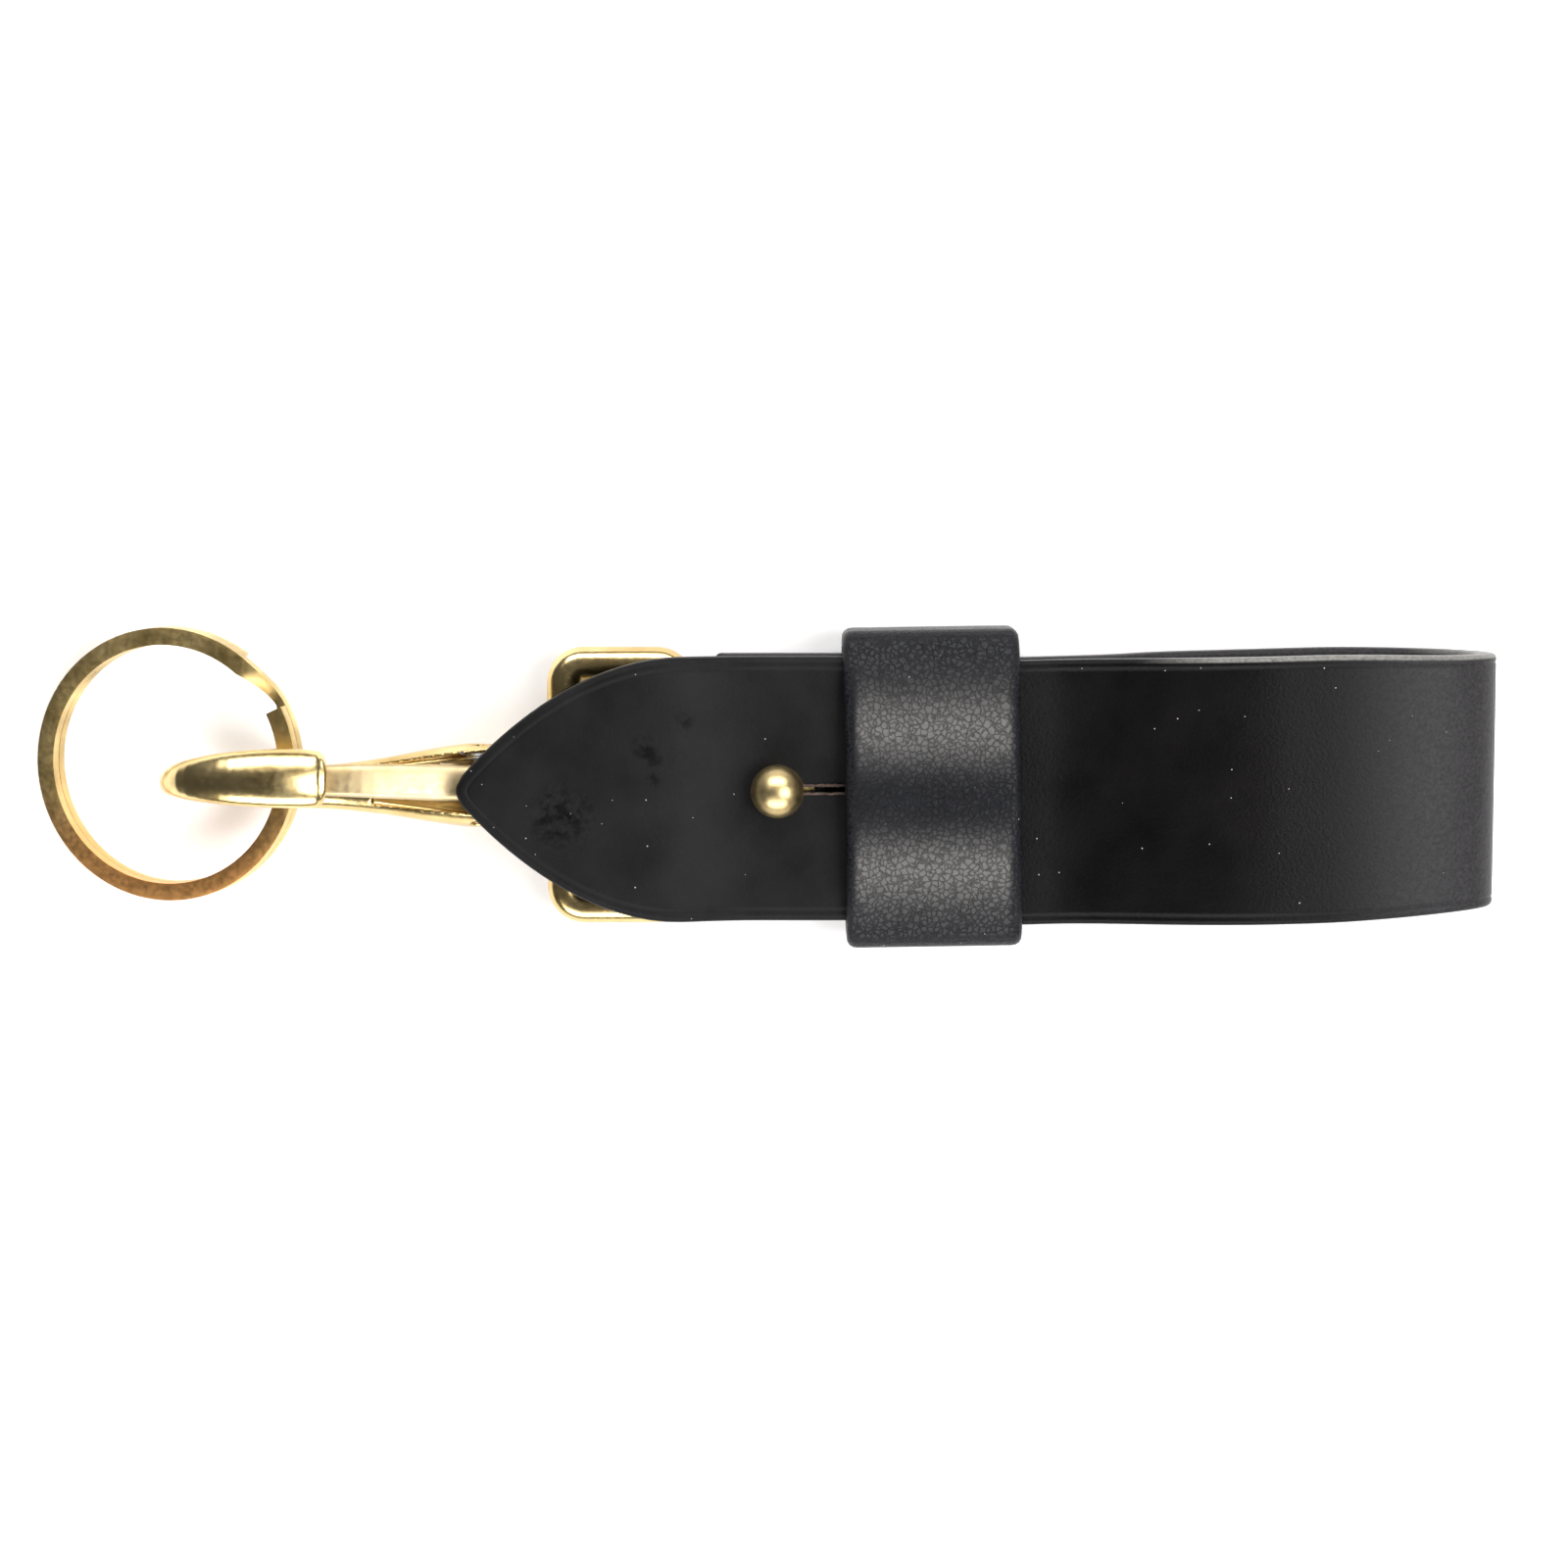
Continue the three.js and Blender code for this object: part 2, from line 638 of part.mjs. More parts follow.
// Two turns of flat wire round Z: the upper coil, a jog down, and the lower coil.
function makeSplitRing() {
  const level = (ringWire.thick + ringCoilGap) / 2;
  const middle = ringRadius - ringWire.wide / 2;
  const steps = Math.round(ringTurn / ringStep);
  const sections = [];
  for (let i = 0; i <= steps; i++) {
    const travel = (i / steps) * ringTurn;
    const share = THREE.MathUtils.smoothstep(travel, ringJog.start, ringJog.end);
    const z = level * (1 - 2 * share);
    const angle = THREE.MathUtils.degToRad(ringEndAngle - travel);
    const corner = (out, up) =>
      new THREE.Vector3(
        (middle + (out * ringWire.wide) / 2) * Math.cos(angle),
        (middle + (out * ringWire.wide) / 2) * Math.sin(angle),
        z + (up * ringWire.thick) / 2,
      );
    sections.push([corner(-1, -1), corner(1, -1), corner(1, 1), corner(-1, 1)]);
  }
  return loft(sections);
}

// ---------------------------------------------------------------- assembly

const leather = new THREE.MeshStandardMaterial({ color: 0x232226, roughness: 0.5, metalness: 0 });
const brass = new THREE.MeshStandardMaterial({ color: 0xc9a24a, roughness: 0.25, metalness: 1 });
const ringBrass = new THREE.MeshStandardMaterial({ color: 0xb8862f, roughness: 0.3, metalness: 1 });
const springSteel = new THREE.MeshStandardMaterial({ color: 0x9a9a98, roughness: 0.35, metalness: 1 });
const thread = new THREE.MeshStandardMaterial({ color: 0x18181a, roughness: 0.8, metalness: 0 });

function piece(name, body, material) {
  const made = body.getMesh();
  const geometry = new THREE.BufferGeometry();
  geometry.setAttribute("position", new THREE.BufferAttribute(new Float32Array(made.vertProperties), 3));
  geometry.setIndex(new THREE.BufferAttribute(new Uint32Array(made.triVerts), 1));
  geometry.computeVertexNormals();
  const mesh = new THREE.Mesh(geometry, material);
  mesh.name = name;
  return mesh;
}

const keychain = new THREE.Group();
keychain.add(piece("strap", makeStrap(), leather));
keychain.add(piece("tab", makeTab(), leather));
keychain.add(piece("ball_stud", makeStud(), brass));
keychain.add(piece("stud_screw", makeStudScrew(), brass));

const keeperGroup = new THREE.Group();
keeperGroup.position.x = keeperMid;
keeperGroup.rotation.z = THREE.MathUtils.degToRad(keeperSkew);
keeperGroup.add(piece("keeper", makeKeeper(), leather));
stitchPlaces().forEach((x, i) => {
  keeperGroup.add(piece(`keeper_stitch_${i + 1}`, makeStitch(x), thread));
});
keychain.add(keeperGroup);

const snap = new THREE.Group();
snap.position.z = frameAxisHeight;
snap.add(piece("frame", makeFrame(), brass));
const swivelling = new THREE.Group();
swivelling.rotation.x = THREE.MathUtils.degToRad(hookRoll);
swivelling.add(piece("swivel_post", makeSwivelPost(), brass));
swivelling.add(piece("hook", makeHook(), brass));
swivelling.add(piece("gate", makeGate(), brass));
swivelling.add(piece("gate_pin", makeGatePin(), brass));
swivelling.add(piece("gate_spring", makeGateSpring(), springSteel));
snap.add(swivelling);
keychain.add(snap);

const ring = piece("split_ring", makeSplitRing(), ringBrass);
const tilt = THREE.MathUtils.degToRad(ringTilt);
const ringHalfHeight = ringWire.thick + ringCoilGap / 2;
ring.rotation.y = -tilt;
ring.position.set(
  hookShoulder - ringReach - (ringRadius - ringWire.wide / 2) * Math.cos(tilt),
  ringShift,
  ringRadius * Math.sin(tilt) + ringHalfHeight * Math.cos(tilt),
);
keychain.add(ring);

const box = new THREE.Box3().setFromObject(keychain, true);
const centre = box.getCenter(new THREE.Vector3());
keychain.position.set(-centre.x, -centre.y, -box.min.z);

export default keychain;
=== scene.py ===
import math

import bmesh
import bpy
from mathutils import Matrix, Vector
from mathutils.geometry import interpolate_bezier


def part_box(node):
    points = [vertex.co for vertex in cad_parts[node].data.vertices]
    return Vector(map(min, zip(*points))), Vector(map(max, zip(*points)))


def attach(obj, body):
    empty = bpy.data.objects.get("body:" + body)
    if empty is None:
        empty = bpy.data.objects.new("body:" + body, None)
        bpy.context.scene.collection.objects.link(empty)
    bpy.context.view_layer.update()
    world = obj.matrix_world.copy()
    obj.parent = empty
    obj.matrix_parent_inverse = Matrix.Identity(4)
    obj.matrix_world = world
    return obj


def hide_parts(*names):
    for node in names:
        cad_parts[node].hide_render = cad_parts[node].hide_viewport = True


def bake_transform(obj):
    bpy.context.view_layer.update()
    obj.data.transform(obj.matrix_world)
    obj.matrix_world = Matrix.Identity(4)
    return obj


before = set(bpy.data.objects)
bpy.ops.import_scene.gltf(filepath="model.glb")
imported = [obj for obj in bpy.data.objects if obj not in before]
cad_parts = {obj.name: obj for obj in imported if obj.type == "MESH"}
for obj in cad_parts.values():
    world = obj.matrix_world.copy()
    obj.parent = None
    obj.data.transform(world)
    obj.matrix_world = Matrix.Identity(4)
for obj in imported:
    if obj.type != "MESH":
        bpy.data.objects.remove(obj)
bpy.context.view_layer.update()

MM = 0.001

# ------------------------------------------------------------------ places and sizes, in millimetres
# Pieces are made on a bench in millimetres, with X = 0 on the stud's axis, and then carried to the frame.

stud_low, stud_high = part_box("ball_stud")
STUD = Vector(((stud_low.x + stud_high.x) / 2, (stud_low.y + stud_high.y) / 2, 0))


def on_bench(node):
    low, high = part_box(node)
    return (low - STUD) / MM, (high - STUD) / MM


tab_low, tab_high = on_bench("tab")
strap_low, strap_high = on_bench("strap")
keeper_low, keeper_high = on_bench("keeper")
frame_high = on_bench("frame")[1]
ball_low, ball_high = on_bench("ball_stud")
ring_low, ring_high = on_bench("split_ring")

LEATHER = 2.8
NECK = 1.8
STRAP_WIDTH = tab_high.y - tab_low.y
NECK_WIDTH = 24.6
FRAME_BAR = 4.2
SEAM = 20.0
RETURN_END = 14.0
SHOULDER = -7.0
LEVEL_START = -5.0
TAB_FALL = Vector((-17.5, -1.5))

TAB_LEVEL = tab_low.z + LEATHER / 2
TAB_RAISED = tab_high.z - LEATHER / 2
DECK_LEVEL = 4.4
RETURN_LEVEL = 7.0
BAR_X = frame_high.x - FRAME_BAR / 2
AXIS_Z = 5.6
FOLD_RADIUS = BAR_X - strap_low.x - NECK / 2
LOOP_END = strap_high.x - LEATHER / 2
LOOP_PEAK = strap_high.z - LEATHER / 2
TABLE_LEVEL = LEATHER / 2
RISE_START = 32.8
LIFT_END = 37.8
LOOP_CREST = 60.8
KEYHOLE_RADIUS = 2.7
SLIT_LENGTH = 9.0
SLIT_WIDTH = 0.7
KEEPER_WALL = 2.7
KEEPER_WIDTH = 21.2
KEEPER_CORNER = 4.2
KEEPER_HALF = 19.25
KEEPER_SKEW = math.radians(0.9)
FLANGE_TOP = 8.2
FLANGE_THICKNESS = 0.8
BALL_RADIUS = 3.2
STUD_NECK_RADIUS = 1.7
FRAME_LEFT = -28.05
FRAME_THICKNESS = 4.0
FRAME_CORNER = 4.5
FRAME_ROUNDING = 1.85
BOSS_RADIUS = 3.4
BOSS_REACH = 1.65
SWIVEL_BORE_RADIUS = 2.0
HOOK_SHOULDER = -30.0
HOOK_ROLL = math.radians(-10)

# ------------------------------------------------------------------ bench tools


def make_active(piece):
    bpy.ops.object.select_all(action="DESELECT")
    piece.select_set(True)
    bpy.context.view_layer.objects.active = piece


def open_mesh(piece, kind="FACE"):
    make_active(piece)
    bpy.ops.object.mode_set(mode="EDIT")
    bpy.ops.mesh.select_mode(type=kind)
    bpy.ops.mesh.select_all(action="DESELECT")


def close_mesh():
    bpy.ops.object.mode_set(mode="OBJECT")


def pick(piece, kind, wanted):
    """Selects the verts, edges or faces of the open mesh that pass a test."""
    bpy.ops.mesh.select_mode(type={"verts": "VERT", "edges": "EDGE", "faces": "FACE"}[kind])
    bpy.ops.mesh.select_all(action="DESELECT")
    mesh = bmesh.from_edit_mesh(piece.data)
    for element in getattr(mesh, kind):
        if wanted(element):
            element.select_set(True)
    mesh.select_flush_mode()
    bmesh.update_edit_mesh(piece.data)


def middle(element):
    points = [vert.co for vert in element.verts]
    return sum(points, Vector()) / len(points)


def runs_along(edge, axis):
    along = (edge.verts[1].co - edge.verts[0].co).normalized()
    return abs(along[axis]) > 0.999


def box_piece(name, low, high):
    bpy.ops.object.select_all(action="DESELECT")
    bpy.ops.mesh.primitive_cube_add(size=1)
    piece = bpy.context.object
    piece.name = name
    size = Vector(high) - Vector(low)
    piece.data.transform(Matrix.Diagonal((*size, 1)))
    piece.data.transform(Matrix.Translation((Vector(low) + Vector(high)) / 2))
    return piece


def rod(name, radius, length, middle_at, along="Z", sides=48):
    turn = {"X": (0, math.pi / 2, 0), "Y": (math.pi / 2, 0, 0), "Z": (0, 0, 0)}[along]
    bpy.ops.object.select_all(action="DESELECT")
    bpy.ops.mesh.primitive_cylinder_add(
        vertices=sides, radius=radius, depth=length, location=middle_at, rotation=turn)
    piece = bpy.context.object
    piece.name = name
    bpy.ops.object.transform_apply(location=True, rotation=True, scale=True)
    return piece


def apply_modifier(piece, kind, **settings):
    make_active(piece)
    modifier = piece.modifiers.new(kind.title(), kind)
    for name, value in settings.items():
        setattr(modifier, name, value)
    bpy.ops.object.modifier_apply(modifier=modifier.name)


def cut(piece, tool):
    apply_modifier(piece, "BOOLEAN", operation="DIFFERENCE", object=tool, solver="EXACT")
    bpy.data.objects.remove(tool)


def join(piece, part):
    apply_modifier(piece, "BOOLEAN", operation="UNION", object=part, solver="EXACT")
    bpy.data.objects.remove(part)


def slice_along(piece, start, end, step):
    """Cuts crosswise lines into a piece, so that it can bend."""
    open_mesh(piece)
    count = int((end - start) / step)
    for i in range(1, count):
        bpy.ops.mesh.select_all(action="SELECT")
        place = start + (end - start) * i / count
        bpy.ops.mesh.bisect(plane_co=(place, 0, 0), plane_no=(1, 0, 0))
    close_mesh()


def slice_across(piece, half, step):
    """Cuts lengthwise lines, so that the shading of the rims stays at the rims."""
    open_mesh(piece)
    count = int(2 * half / step)
    for i in range(1, count):
        bpy.ops.mesh.select_all(action="SELECT")
        bpy.ops.mesh.bisect(plane_co=(0, -half + 2 * half * i / count, 0), plane_no=(0, 1, 0))
    close_mesh()


def carry_to_frame(piece):
    piece.data.transform(Matrix.Translation(STUD) @ Matrix.Scale(MM, 4))
    piece.data.update()


def smooth(piece, degrees=35):
    make_active(piece)
    bpy.ops.object.shade_smooth_by_angle(angle=math.radians(degrees))


def face_outwards(piece):
    open_mesh(piece)
    bpy.ops.mesh.select_all(action="SELECT")
    bpy.ops.mesh.remove_doubles(threshold=0.002)
    bpy.ops.mesh.normals_make_consistent(inside=False)
    close_mesh()


def mark_raw_edge(piece, start, end):
    """Marks the stretch of the far cut edge that was never burnished."""
    field = piece.data.attributes.new("raw_edge", "FLOAT", "POINT")
    half = STRAP_WIDTH / 2
    for vert in piece.data.vertices:
        rise = min(max((vert.co.x - start) / 10, 0), 1)
        fall = min(max((end - vert.co.x) / 10, 0), 1)
        field.data[vert.index].value = rise * fall if vert.co.y > half - 0.4 else 0.0


def keep_flat_place(piece):
    """Stores where each point lies on the uncut hide, in metres, so that grain follows the bends."""
    field = piece.data.attributes.new("hide", "FLOAT_VECTOR", "POINT")
    for vert in piece.data.vertices:
        field.data[vert.index].vector = vert.co * MM


# ------------------------------------------------------------------ the strap's line
# Knots of the whole strap's middle line from the tab's tip round to the end of the return ply:
# x, z, direction there, and how far the handles reach back and ahead.


def strap_line():
    level = 0.45
    ahead, back, down, up = (1, 0), (-1, 0), (0, -1), (0, 1)
    rest_end = LOOP_END - 14
    rest_start = rest_end - 22
    fold_sway = level * (LEVEL_START - BAR_X)
    tab_sway = level * (TAB_FALL.y - TAB_FALL.x)
    floor_sway = level * (rest_start - LIFT_END)
    quarter = FOLD_RADIUS * 0.5523
    return [
        (tab_low.x - 2, TAB_RAISED, ahead, 1, 5),
        (TAB_FALL.x, TAB_RAISED, ahead, 5, tab_sway),
        (TAB_FALL.y, TAB_LEVEL, ahead, tab_sway, 4),
        (RISE_START, TAB_LEVEL, ahead, 10, 8),
        (LOOP_CREST, LOOP_PEAK, ahead, 12, 13),
        (LOOP_END, 8.6, down, 5.6, 5),
        (rest_end, TABLE_LEVEL, back, 8, 6),
        (rest_start, TABLE_LEVEL, back, 6, floor_sway),
        (LIFT_END, DECK_LEVEL, back, floor_sway, 10),
        (-6, DECK_LEVEL, back, 10, level * 6.2),
        (BAR_X, AXIS_Z - FOLD_RADIUS, back, level * 6.2, quarter),
        (BAR_X - FOLD_RADIUS, AXIS_Z, up, quarter, quarter),
        (BAR_X, AXIS_Z + FOLD_RADIUS, ahead, quarter, fold_sway),
        (LEVEL_START, RETURN_LEVEL, ahead, fold_sway, 5),
        (RETURN_END, RETURN_LEVEL, ahead, 5, 1),
    ]


def lay_line(knots):
    bpy.ops.object.select_all(action="DESELECT")
    bpy.ops.curve.primitive_bezier_curve_add()
    line = bpy.context.object
    points = line.data.splines[0].bezier_points
    points.add(len(knots) - 2)
    for point, (x, z, (dx, dz), reach_back, reach_ahead) in zip(points, knots):
        along = Vector((dx, 0, dz))
        point.handle_left_type = "FREE"
        point.handle_right_type = "FREE"
        point.co = (x, 0, z)
        point.handle_left = point.co - along * reach_back
        point.handle_right = point.co + along * reach_ahead
    line.data.dimensions = "3D"
    line.data.twist_mode = "MINIMUM"
    line.data.resolution_u = 40
    line.data.use_deform_bounds = False
    line.data.use_stretch = False
    return line


def line_walk(line):
    """The line's points with their distance from its start."""
    points = line.data.splines[0].bezier_points
    walk = [(0.0, points[0].co.copy())]
    for a, b in zip(points, points[1:]):
        for place in interpolate_bezier(a.co, a.handle_right, b.handle_left, b.co, 41)[1:]:
            walk.append((walk[-1][0] + (place - walk[-1][1]).length, place))
    return walk


line = lay_line(strap_line())
walk = line_walk(line)


def on_line(x, ply):
    """Distance along the line where it passes x: the upper ply first, then the lower, then the return."""
    passed = []
    for (s0, p0), (s1, p1) in zip(walk, walk[1:]):
        if min(p0.x, p1.x) <= x < max(p0.x, p1.x):
            passed.append(s0 + (s1 - s0) * (x - p0.x) / (p1.x - p0.x))
    return passed[ply]


def bend_to_line(piece):
    apply_modifier(piece, "CURVE", object=line, deform_axis="POS_X")


FLAT_TIP = on_line(tab_low.x, 0)
FLAT_STUD = on_line(0, 0)
FLAT_SEAM = on_line(SEAM, 0)
FLAT_BEND = on_line(LOOP_END - 0.01, 0)
FLAT_SHOULDER = on_line(SHOULDER, 1)
FLAT_END = walk[-1][0]

# ------------------------------------------------------------------ leather pieces

RIM = 0.85  # rounding of the tab's top edge
EDGE = 0.6  # rounding of the other edges
RAW_END_INSET = 0.3
CREASE = 0.24
CREASE_DEPTH = 0.13
TAB_SLICE = 0.7
STRAP_SLICE = 0.9
RIM_STRIP = 2.5  # left whole beside each rim when a ply is cut lengthwise
PLY_STRIP = 3
NOSE_RADIUS = 2.05
LOOP_SKEW = 0.0276  # sideways for each millimetre along the loop
LOOP_SHIFT = -0.5
BEND_NARROWING = 0.955
BEND_REACH = 24


def crease_top(piece):
    """A creased line, pressed in just inside the rounded rim."""
    pick(piece, "faces", lambda face: face.normal.z > 0.99 and face.calc_area() > 200)
    bpy.ops.mesh.inset(thickness=0.3, depth=0)
    bpy.ops.mesh.inset(thickness=CREASE, depth=-CREASE_DEPTH)
    bpy.ops.mesh.inset(thickness=CREASE, depth=CREASE_DEPTH)
    bpy.ops.mesh.inset(thickness=0.25, depth=0)


def tab_outline():
    """Points and outward directions along one side of the tab's point, tip first."""
    half = STRAP_WIDTH / 2
    tip = FLAT_TIP
    corners = [(0.7, 1.8), (5, half * 0.42), (15.1, half), (27, half)]
    a, b, c, d = [Vector((tip + x, y, 0)) for x, y in corners]
    points = interpolate_bezier(a, b, c, d, 20)
    tangents = []
    for p, q in zip(points, points[1:]):
        along = (q - p).normalized()
        tangents.append(((p + q) / 2, Vector((-along.y, along.x, 0))))
    first = tangents[0][1]
    lean = math.atan2(first.y, -first.x)
    for share in (0.2, 0.45, 0.7):
        angle = lean * share
        outward = Vector((-math.cos(angle), math.sin(angle), 0))
        nose = Vector((tip + NOSE_RADIUS, 0, 0)) + outward * NOSE_RADIUS
        tangents.append((nose, outward))
    return tangents


def make_tab():
    half = STRAP_WIDTH / 2
    tab = box_piece("tab_leather", (FLAT_TIP, -half, -LEATHER / 2), (FLAT_SEAM, half, LEATHER / 2))
    open_mesh(tab)
    for place, outward in tab_outline():
        for side in (1, -1):
            bpy.ops.mesh.select_all(action="SELECT")
            flip = Vector((1, side, 1))
            bpy.ops.mesh.bisect(
                plane_co=place * flip, plane_no=outward * flip, use_fill=True, clear_outer=True)
    bpy.ops.mesh.select_all(action="SELECT")
    bpy.ops.mesh.remove_doubles(threshold=0.02)
    for level, width in ((LEATHER / 2, RIM), (-LEATHER / 2, EDGE)):
        pick(tab, "edges", lambda e: all(abs(v.co.z - level) < 0.001 for v in e.verts)
             and middle(e).x < FLAT_SEAM - 0.1)
        bpy.ops.mesh.bevel(offset=width, segments=4, profile=0.5, affect="EDGES", clamp_overlap=False)
    crease_top(tab)
    close_mesh()
    cut(tab, rod("keyhole", KEYHOLE_RADIUS, 3 * LEATHER, (FLAT_STUD, 0, 0)))
    slit_low = (FLAT_STUD, -SLIT_WIDTH / 2, -LEATHER)
    cut(tab, box_piece("slit", slit_low, (FLAT_STUD + SLIT_LENGTH, SLIT_WIDTH / 2, LEATHER)))
    slice_across(tab, half - RIM_STRIP, PLY_STRIP)
    slice_along(tab, FLAT_TIP, FLAT_SEAM, TAB_SLICE)
    keep_flat_place(tab)
    bend_to_line(tab)
    smooth(tab, 40)
    return tab


def make_slit_lip(name, side, proud, seed):
    """The raw, ragged edge of hide that stands up along the slit."""
    top = LEATHER / 2
    half_thick = 0.18
    off_middle = side * 0.5
    low = (FLAT_STUD + 2.9, off_middle - half_thick, top - 0.3)
    lip = box_piece(name, low, (FLAT_STUD + 9.4, off_middle + half_thick, top + proud))
    open_mesh(lip)
    pick(lip, "edges", lambda e: runs_along(e, 0))
    bpy.ops.mesh.subdivide(number_cuts=26)
    bpy.ops.mesh.select_all(action="SELECT")
    bpy.ops.transform.vertex_random(offset=0.18, uniform=0, normal=0, seed=seed)
    close_mesh()
    apply_modifier(lip, "SUBSURF", levels=2, render_levels=2)
    keep_flat_place(lip)
    bend_to_line(lip)
    smooth(lip, 60)
    return lip


def skew_loop(strap):
    """The loop lies a little askew, its far end nearer to +Y."""
    for vert in strap.data.vertices:
        past = vert.co.x - keeper_high.x
        if past > 0:
            vert.co.y += LOOP_SKEW * past + LOOP_SHIFT
        elif vert.co.x > SEAM:
            vert.co.y += LOOP_SHIFT * (vert.co.x - SEAM) / (keeper_high.x - SEAM)


def make_strap():
    half = STRAP_WIDTH / 2
    low = (FLAT_SEAM, -half, -LEATHER / 2)
    strap = box_piece("strap_leather", low, (FLAT_SHOULDER, half, LEATHER / 2))
    open_mesh(strap)
    pick(strap, "edges", lambda e: runs_along(e, 0))
    bpy.ops.mesh.bevel(offset=EDGE, segments=4, profile=0.5, affect="EDGES")
    crease_top(strap)
    pick(strap, "faces", lambda f: f.normal.x > 0.99)
    bpy.ops.mesh.inset(thickness=RAW_END_INSET, depth=0.25)
    bpy.ops.mesh.extrude_region_move()
    squeeze = (NECK_WIDTH / (STRAP_WIDTH - 2 * RAW_END_INSET), NECK / (LEATHER - 2 * RAW_END_INSET))
    bpy.ops.transform.resize(value=(1, *squeeze))
    bpy.ops.mesh.extrude_region_move(TRANSFORM_OT_translate={"value": (FLAT_END - FLAT_SHOULDER, 0, 0)})
    close_mesh()
    slice_across(strap, half - RIM_STRIP, PLY_STRIP)
    slice_along(strap, FLAT_SEAM, FLAT_END, STRAP_SLICE)
    mark_raw_edge(strap, FLAT_SEAM + 24, FLAT_BEND + 12)
    open_mesh(strap)
    pick(strap, "verts", lambda v: abs(v.co.x - FLAT_BEND) < 0.5)
    bpy.ops.transform.resize(
        value=(1, BEND_NARROWING, 1), center_override=(FLAT_BEND, 0, 0), use_proportional_edit=True,
        proportional_edit_falloff="SMOOTH", proportional_size=BEND_REACH)
    close_mesh()
    keep_flat_place(strap)
    bend_to_line(strap)
    skew_loop(strap)
    smooth(strap, 40)
    return strap


def make_keeper():
    mid_x = (keeper_low.x + keeper_high.x) / 2
    half_x = KEEPER_WIDTH / 2
    top = keeper_high.z
    keeper = box_piece("keeper_leather", (-half_x, -KEEPER_HALF, 0), (half_x, KEEPER_HALF, top))
    open_mesh(keeper)
    pick(keeper, "edges", lambda e: runs_along(e, 0))
    bpy.ops.mesh.bevel(offset=KEEPER_CORNER, segments=8, profile=0.5, affect="EDGES")
    pick(keeper, "faces", lambda f: abs(f.normal.x) > 0.99)
    bpy.ops.mesh.inset(thickness=KEEPER_WALL, depth=0)
    bpy.ops.mesh.delete(type="FACE")
    pick(keeper, "edges", lambda e: e.is_boundary)
    bpy.ops.mesh.bridge_edge_loops()
    pick(keeper, "edges", lambda e: len({round(v.co.x, 3) for v in e.verts}) == 1
         and abs(abs(e.verts[0].co.x) - half_x) < 0.001
         and len([f for f in e.link_faces if abs(f.normal.x) > 0.99]) == 1)
    bpy.ops.mesh.bevel(offset=1.3, segments=4, profile=0.55, affect="EDGES")
    pick(keeper, "edges", lambda e: runs_along(e, 1) and e.calc_length() > 20)
    bpy.ops.mesh.subdivide(number_cuts=24)
    pick(keeper, "edges", lambda e: runs_along(e, 0) and e.calc_length() > 10)
    bpy.ops.mesh.subdivide(number_cuts=20)
    close_mesh()
    crown_keeper(keeper, top)
    cut(keeper, box_piece("seam", (-30, -0.25, -1), (30, 0.25, KEEPER_WALL + 1)))
    for x in (-6, 0, 6):
        cut(keeper, box_piece("groove", (x - 0.75, -2.8, -1), (x + 0.75, 2.8, 1.1)))
    keeper.data.transform(Matrix.Rotation(KEEPER_SKEW, 4, "Z"))
    keeper.data.transform(Matrix.Translation((mid_x, 0, 0)))
    keep_flat_place(keeper)
    smooth(keeper, 40)
    return keeper


def crown_keeper(keeper, top):
    """The upper side bows up in the middle, and its inner face stays clear of the plies."""
    crown, fall, fall_at = 1.25, 2.7, 16.5
    inner_share = 0.8
    inner_high = top - KEEPER_WALL + 0.35
    inner_side = KEEPER_HALF - KEEPER_WALL + 0.35
    for vert in keeper.data.vertices:
        height = vert.co.z - (top - KEEPER_CORNER)
        if height > 0:
            bow = crown - fall * min(abs(vert.co.y) / fall_at, 1) ** 2
            outside = vert.co.z > inner_high or abs(vert.co.y) > inner_side
            vert.co.z += bow * min(1, height / KEEPER_CORNER) if outside else max(bow, 0) * inner_share


# ------------------------------------------------------------------ brass pieces


def turned(name, profile, sides=64):
    """A turned piece from its radii and heights, bottom first, closed at both ends."""
    bpy.ops.object.select_all(action="DESELECT")
    radius, height = profile[0]
    bpy.ops.mesh.primitive_circle_add(vertices=sides, radius=radius, location=(0, 0, height))
    piece = bpy.context.object
    piece.name = name
    bpy.ops.object.transform_apply(location=True, rotation=True, scale=True)
    open_mesh(piece, "VERT")
    bpy.ops.mesh.select_all(action="SELECT")
    bpy.ops.mesh.edge_face_add()
    for next_radius, next_height in profile[1:]:
        rise = next_height - height
        bpy.ops.mesh.extrude_region_move(TRANSFORM_OT_translate={"value": (0, 0, rise)})
        share = next_radius / radius
        bpy.ops.transform.resize(value=(share, share, 1), center_override=(0, 0, next_height))
        radius, height = next_radius, next_height
    close_mesh()
    face_outwards(piece)
    return piece


def make_stud():
    ball_z = ball_high.z - BALL_RADIUS
    flange_under = FLANGE_TOP - FLANGE_THICKNESS
    under = -math.acos(STUD_NECK_RADIUS / BALL_RADIUS)
    steps = 26
    arc = []
    for i in range(steps):
        angle = under + (math.pi / 2 - under) * i / steps
        arc.append((BALL_RADIUS * math.cos(angle), ball_z + BALL_RADIUS * math.sin(angle)))
    stud = turned("stud", [
        (1.9, ball_low.z), (2.0, ball_low.z + 0.15), (2.0, flange_under), (4.5, flange_under),
        (4.7, flange_under + 0.15), (4.7, FLANGE_TOP - 0.25), (4.45, FLANGE_TOP), (2.1, FLANGE_TOP),
        (1.8, FLANGE_TOP + 0.25), (STUD_NECK_RADIUS, FLANGE_TOP + 0.7), *arc, (0.12, ball_z + BALL_RADIUS),
    ])
    bore_length = 8.2
    cut(stud, rod("bore", 1.5, bore_length, (0, 0, flange_under - bore_length / 2)))
    smooth(stud, 30)
    return stud


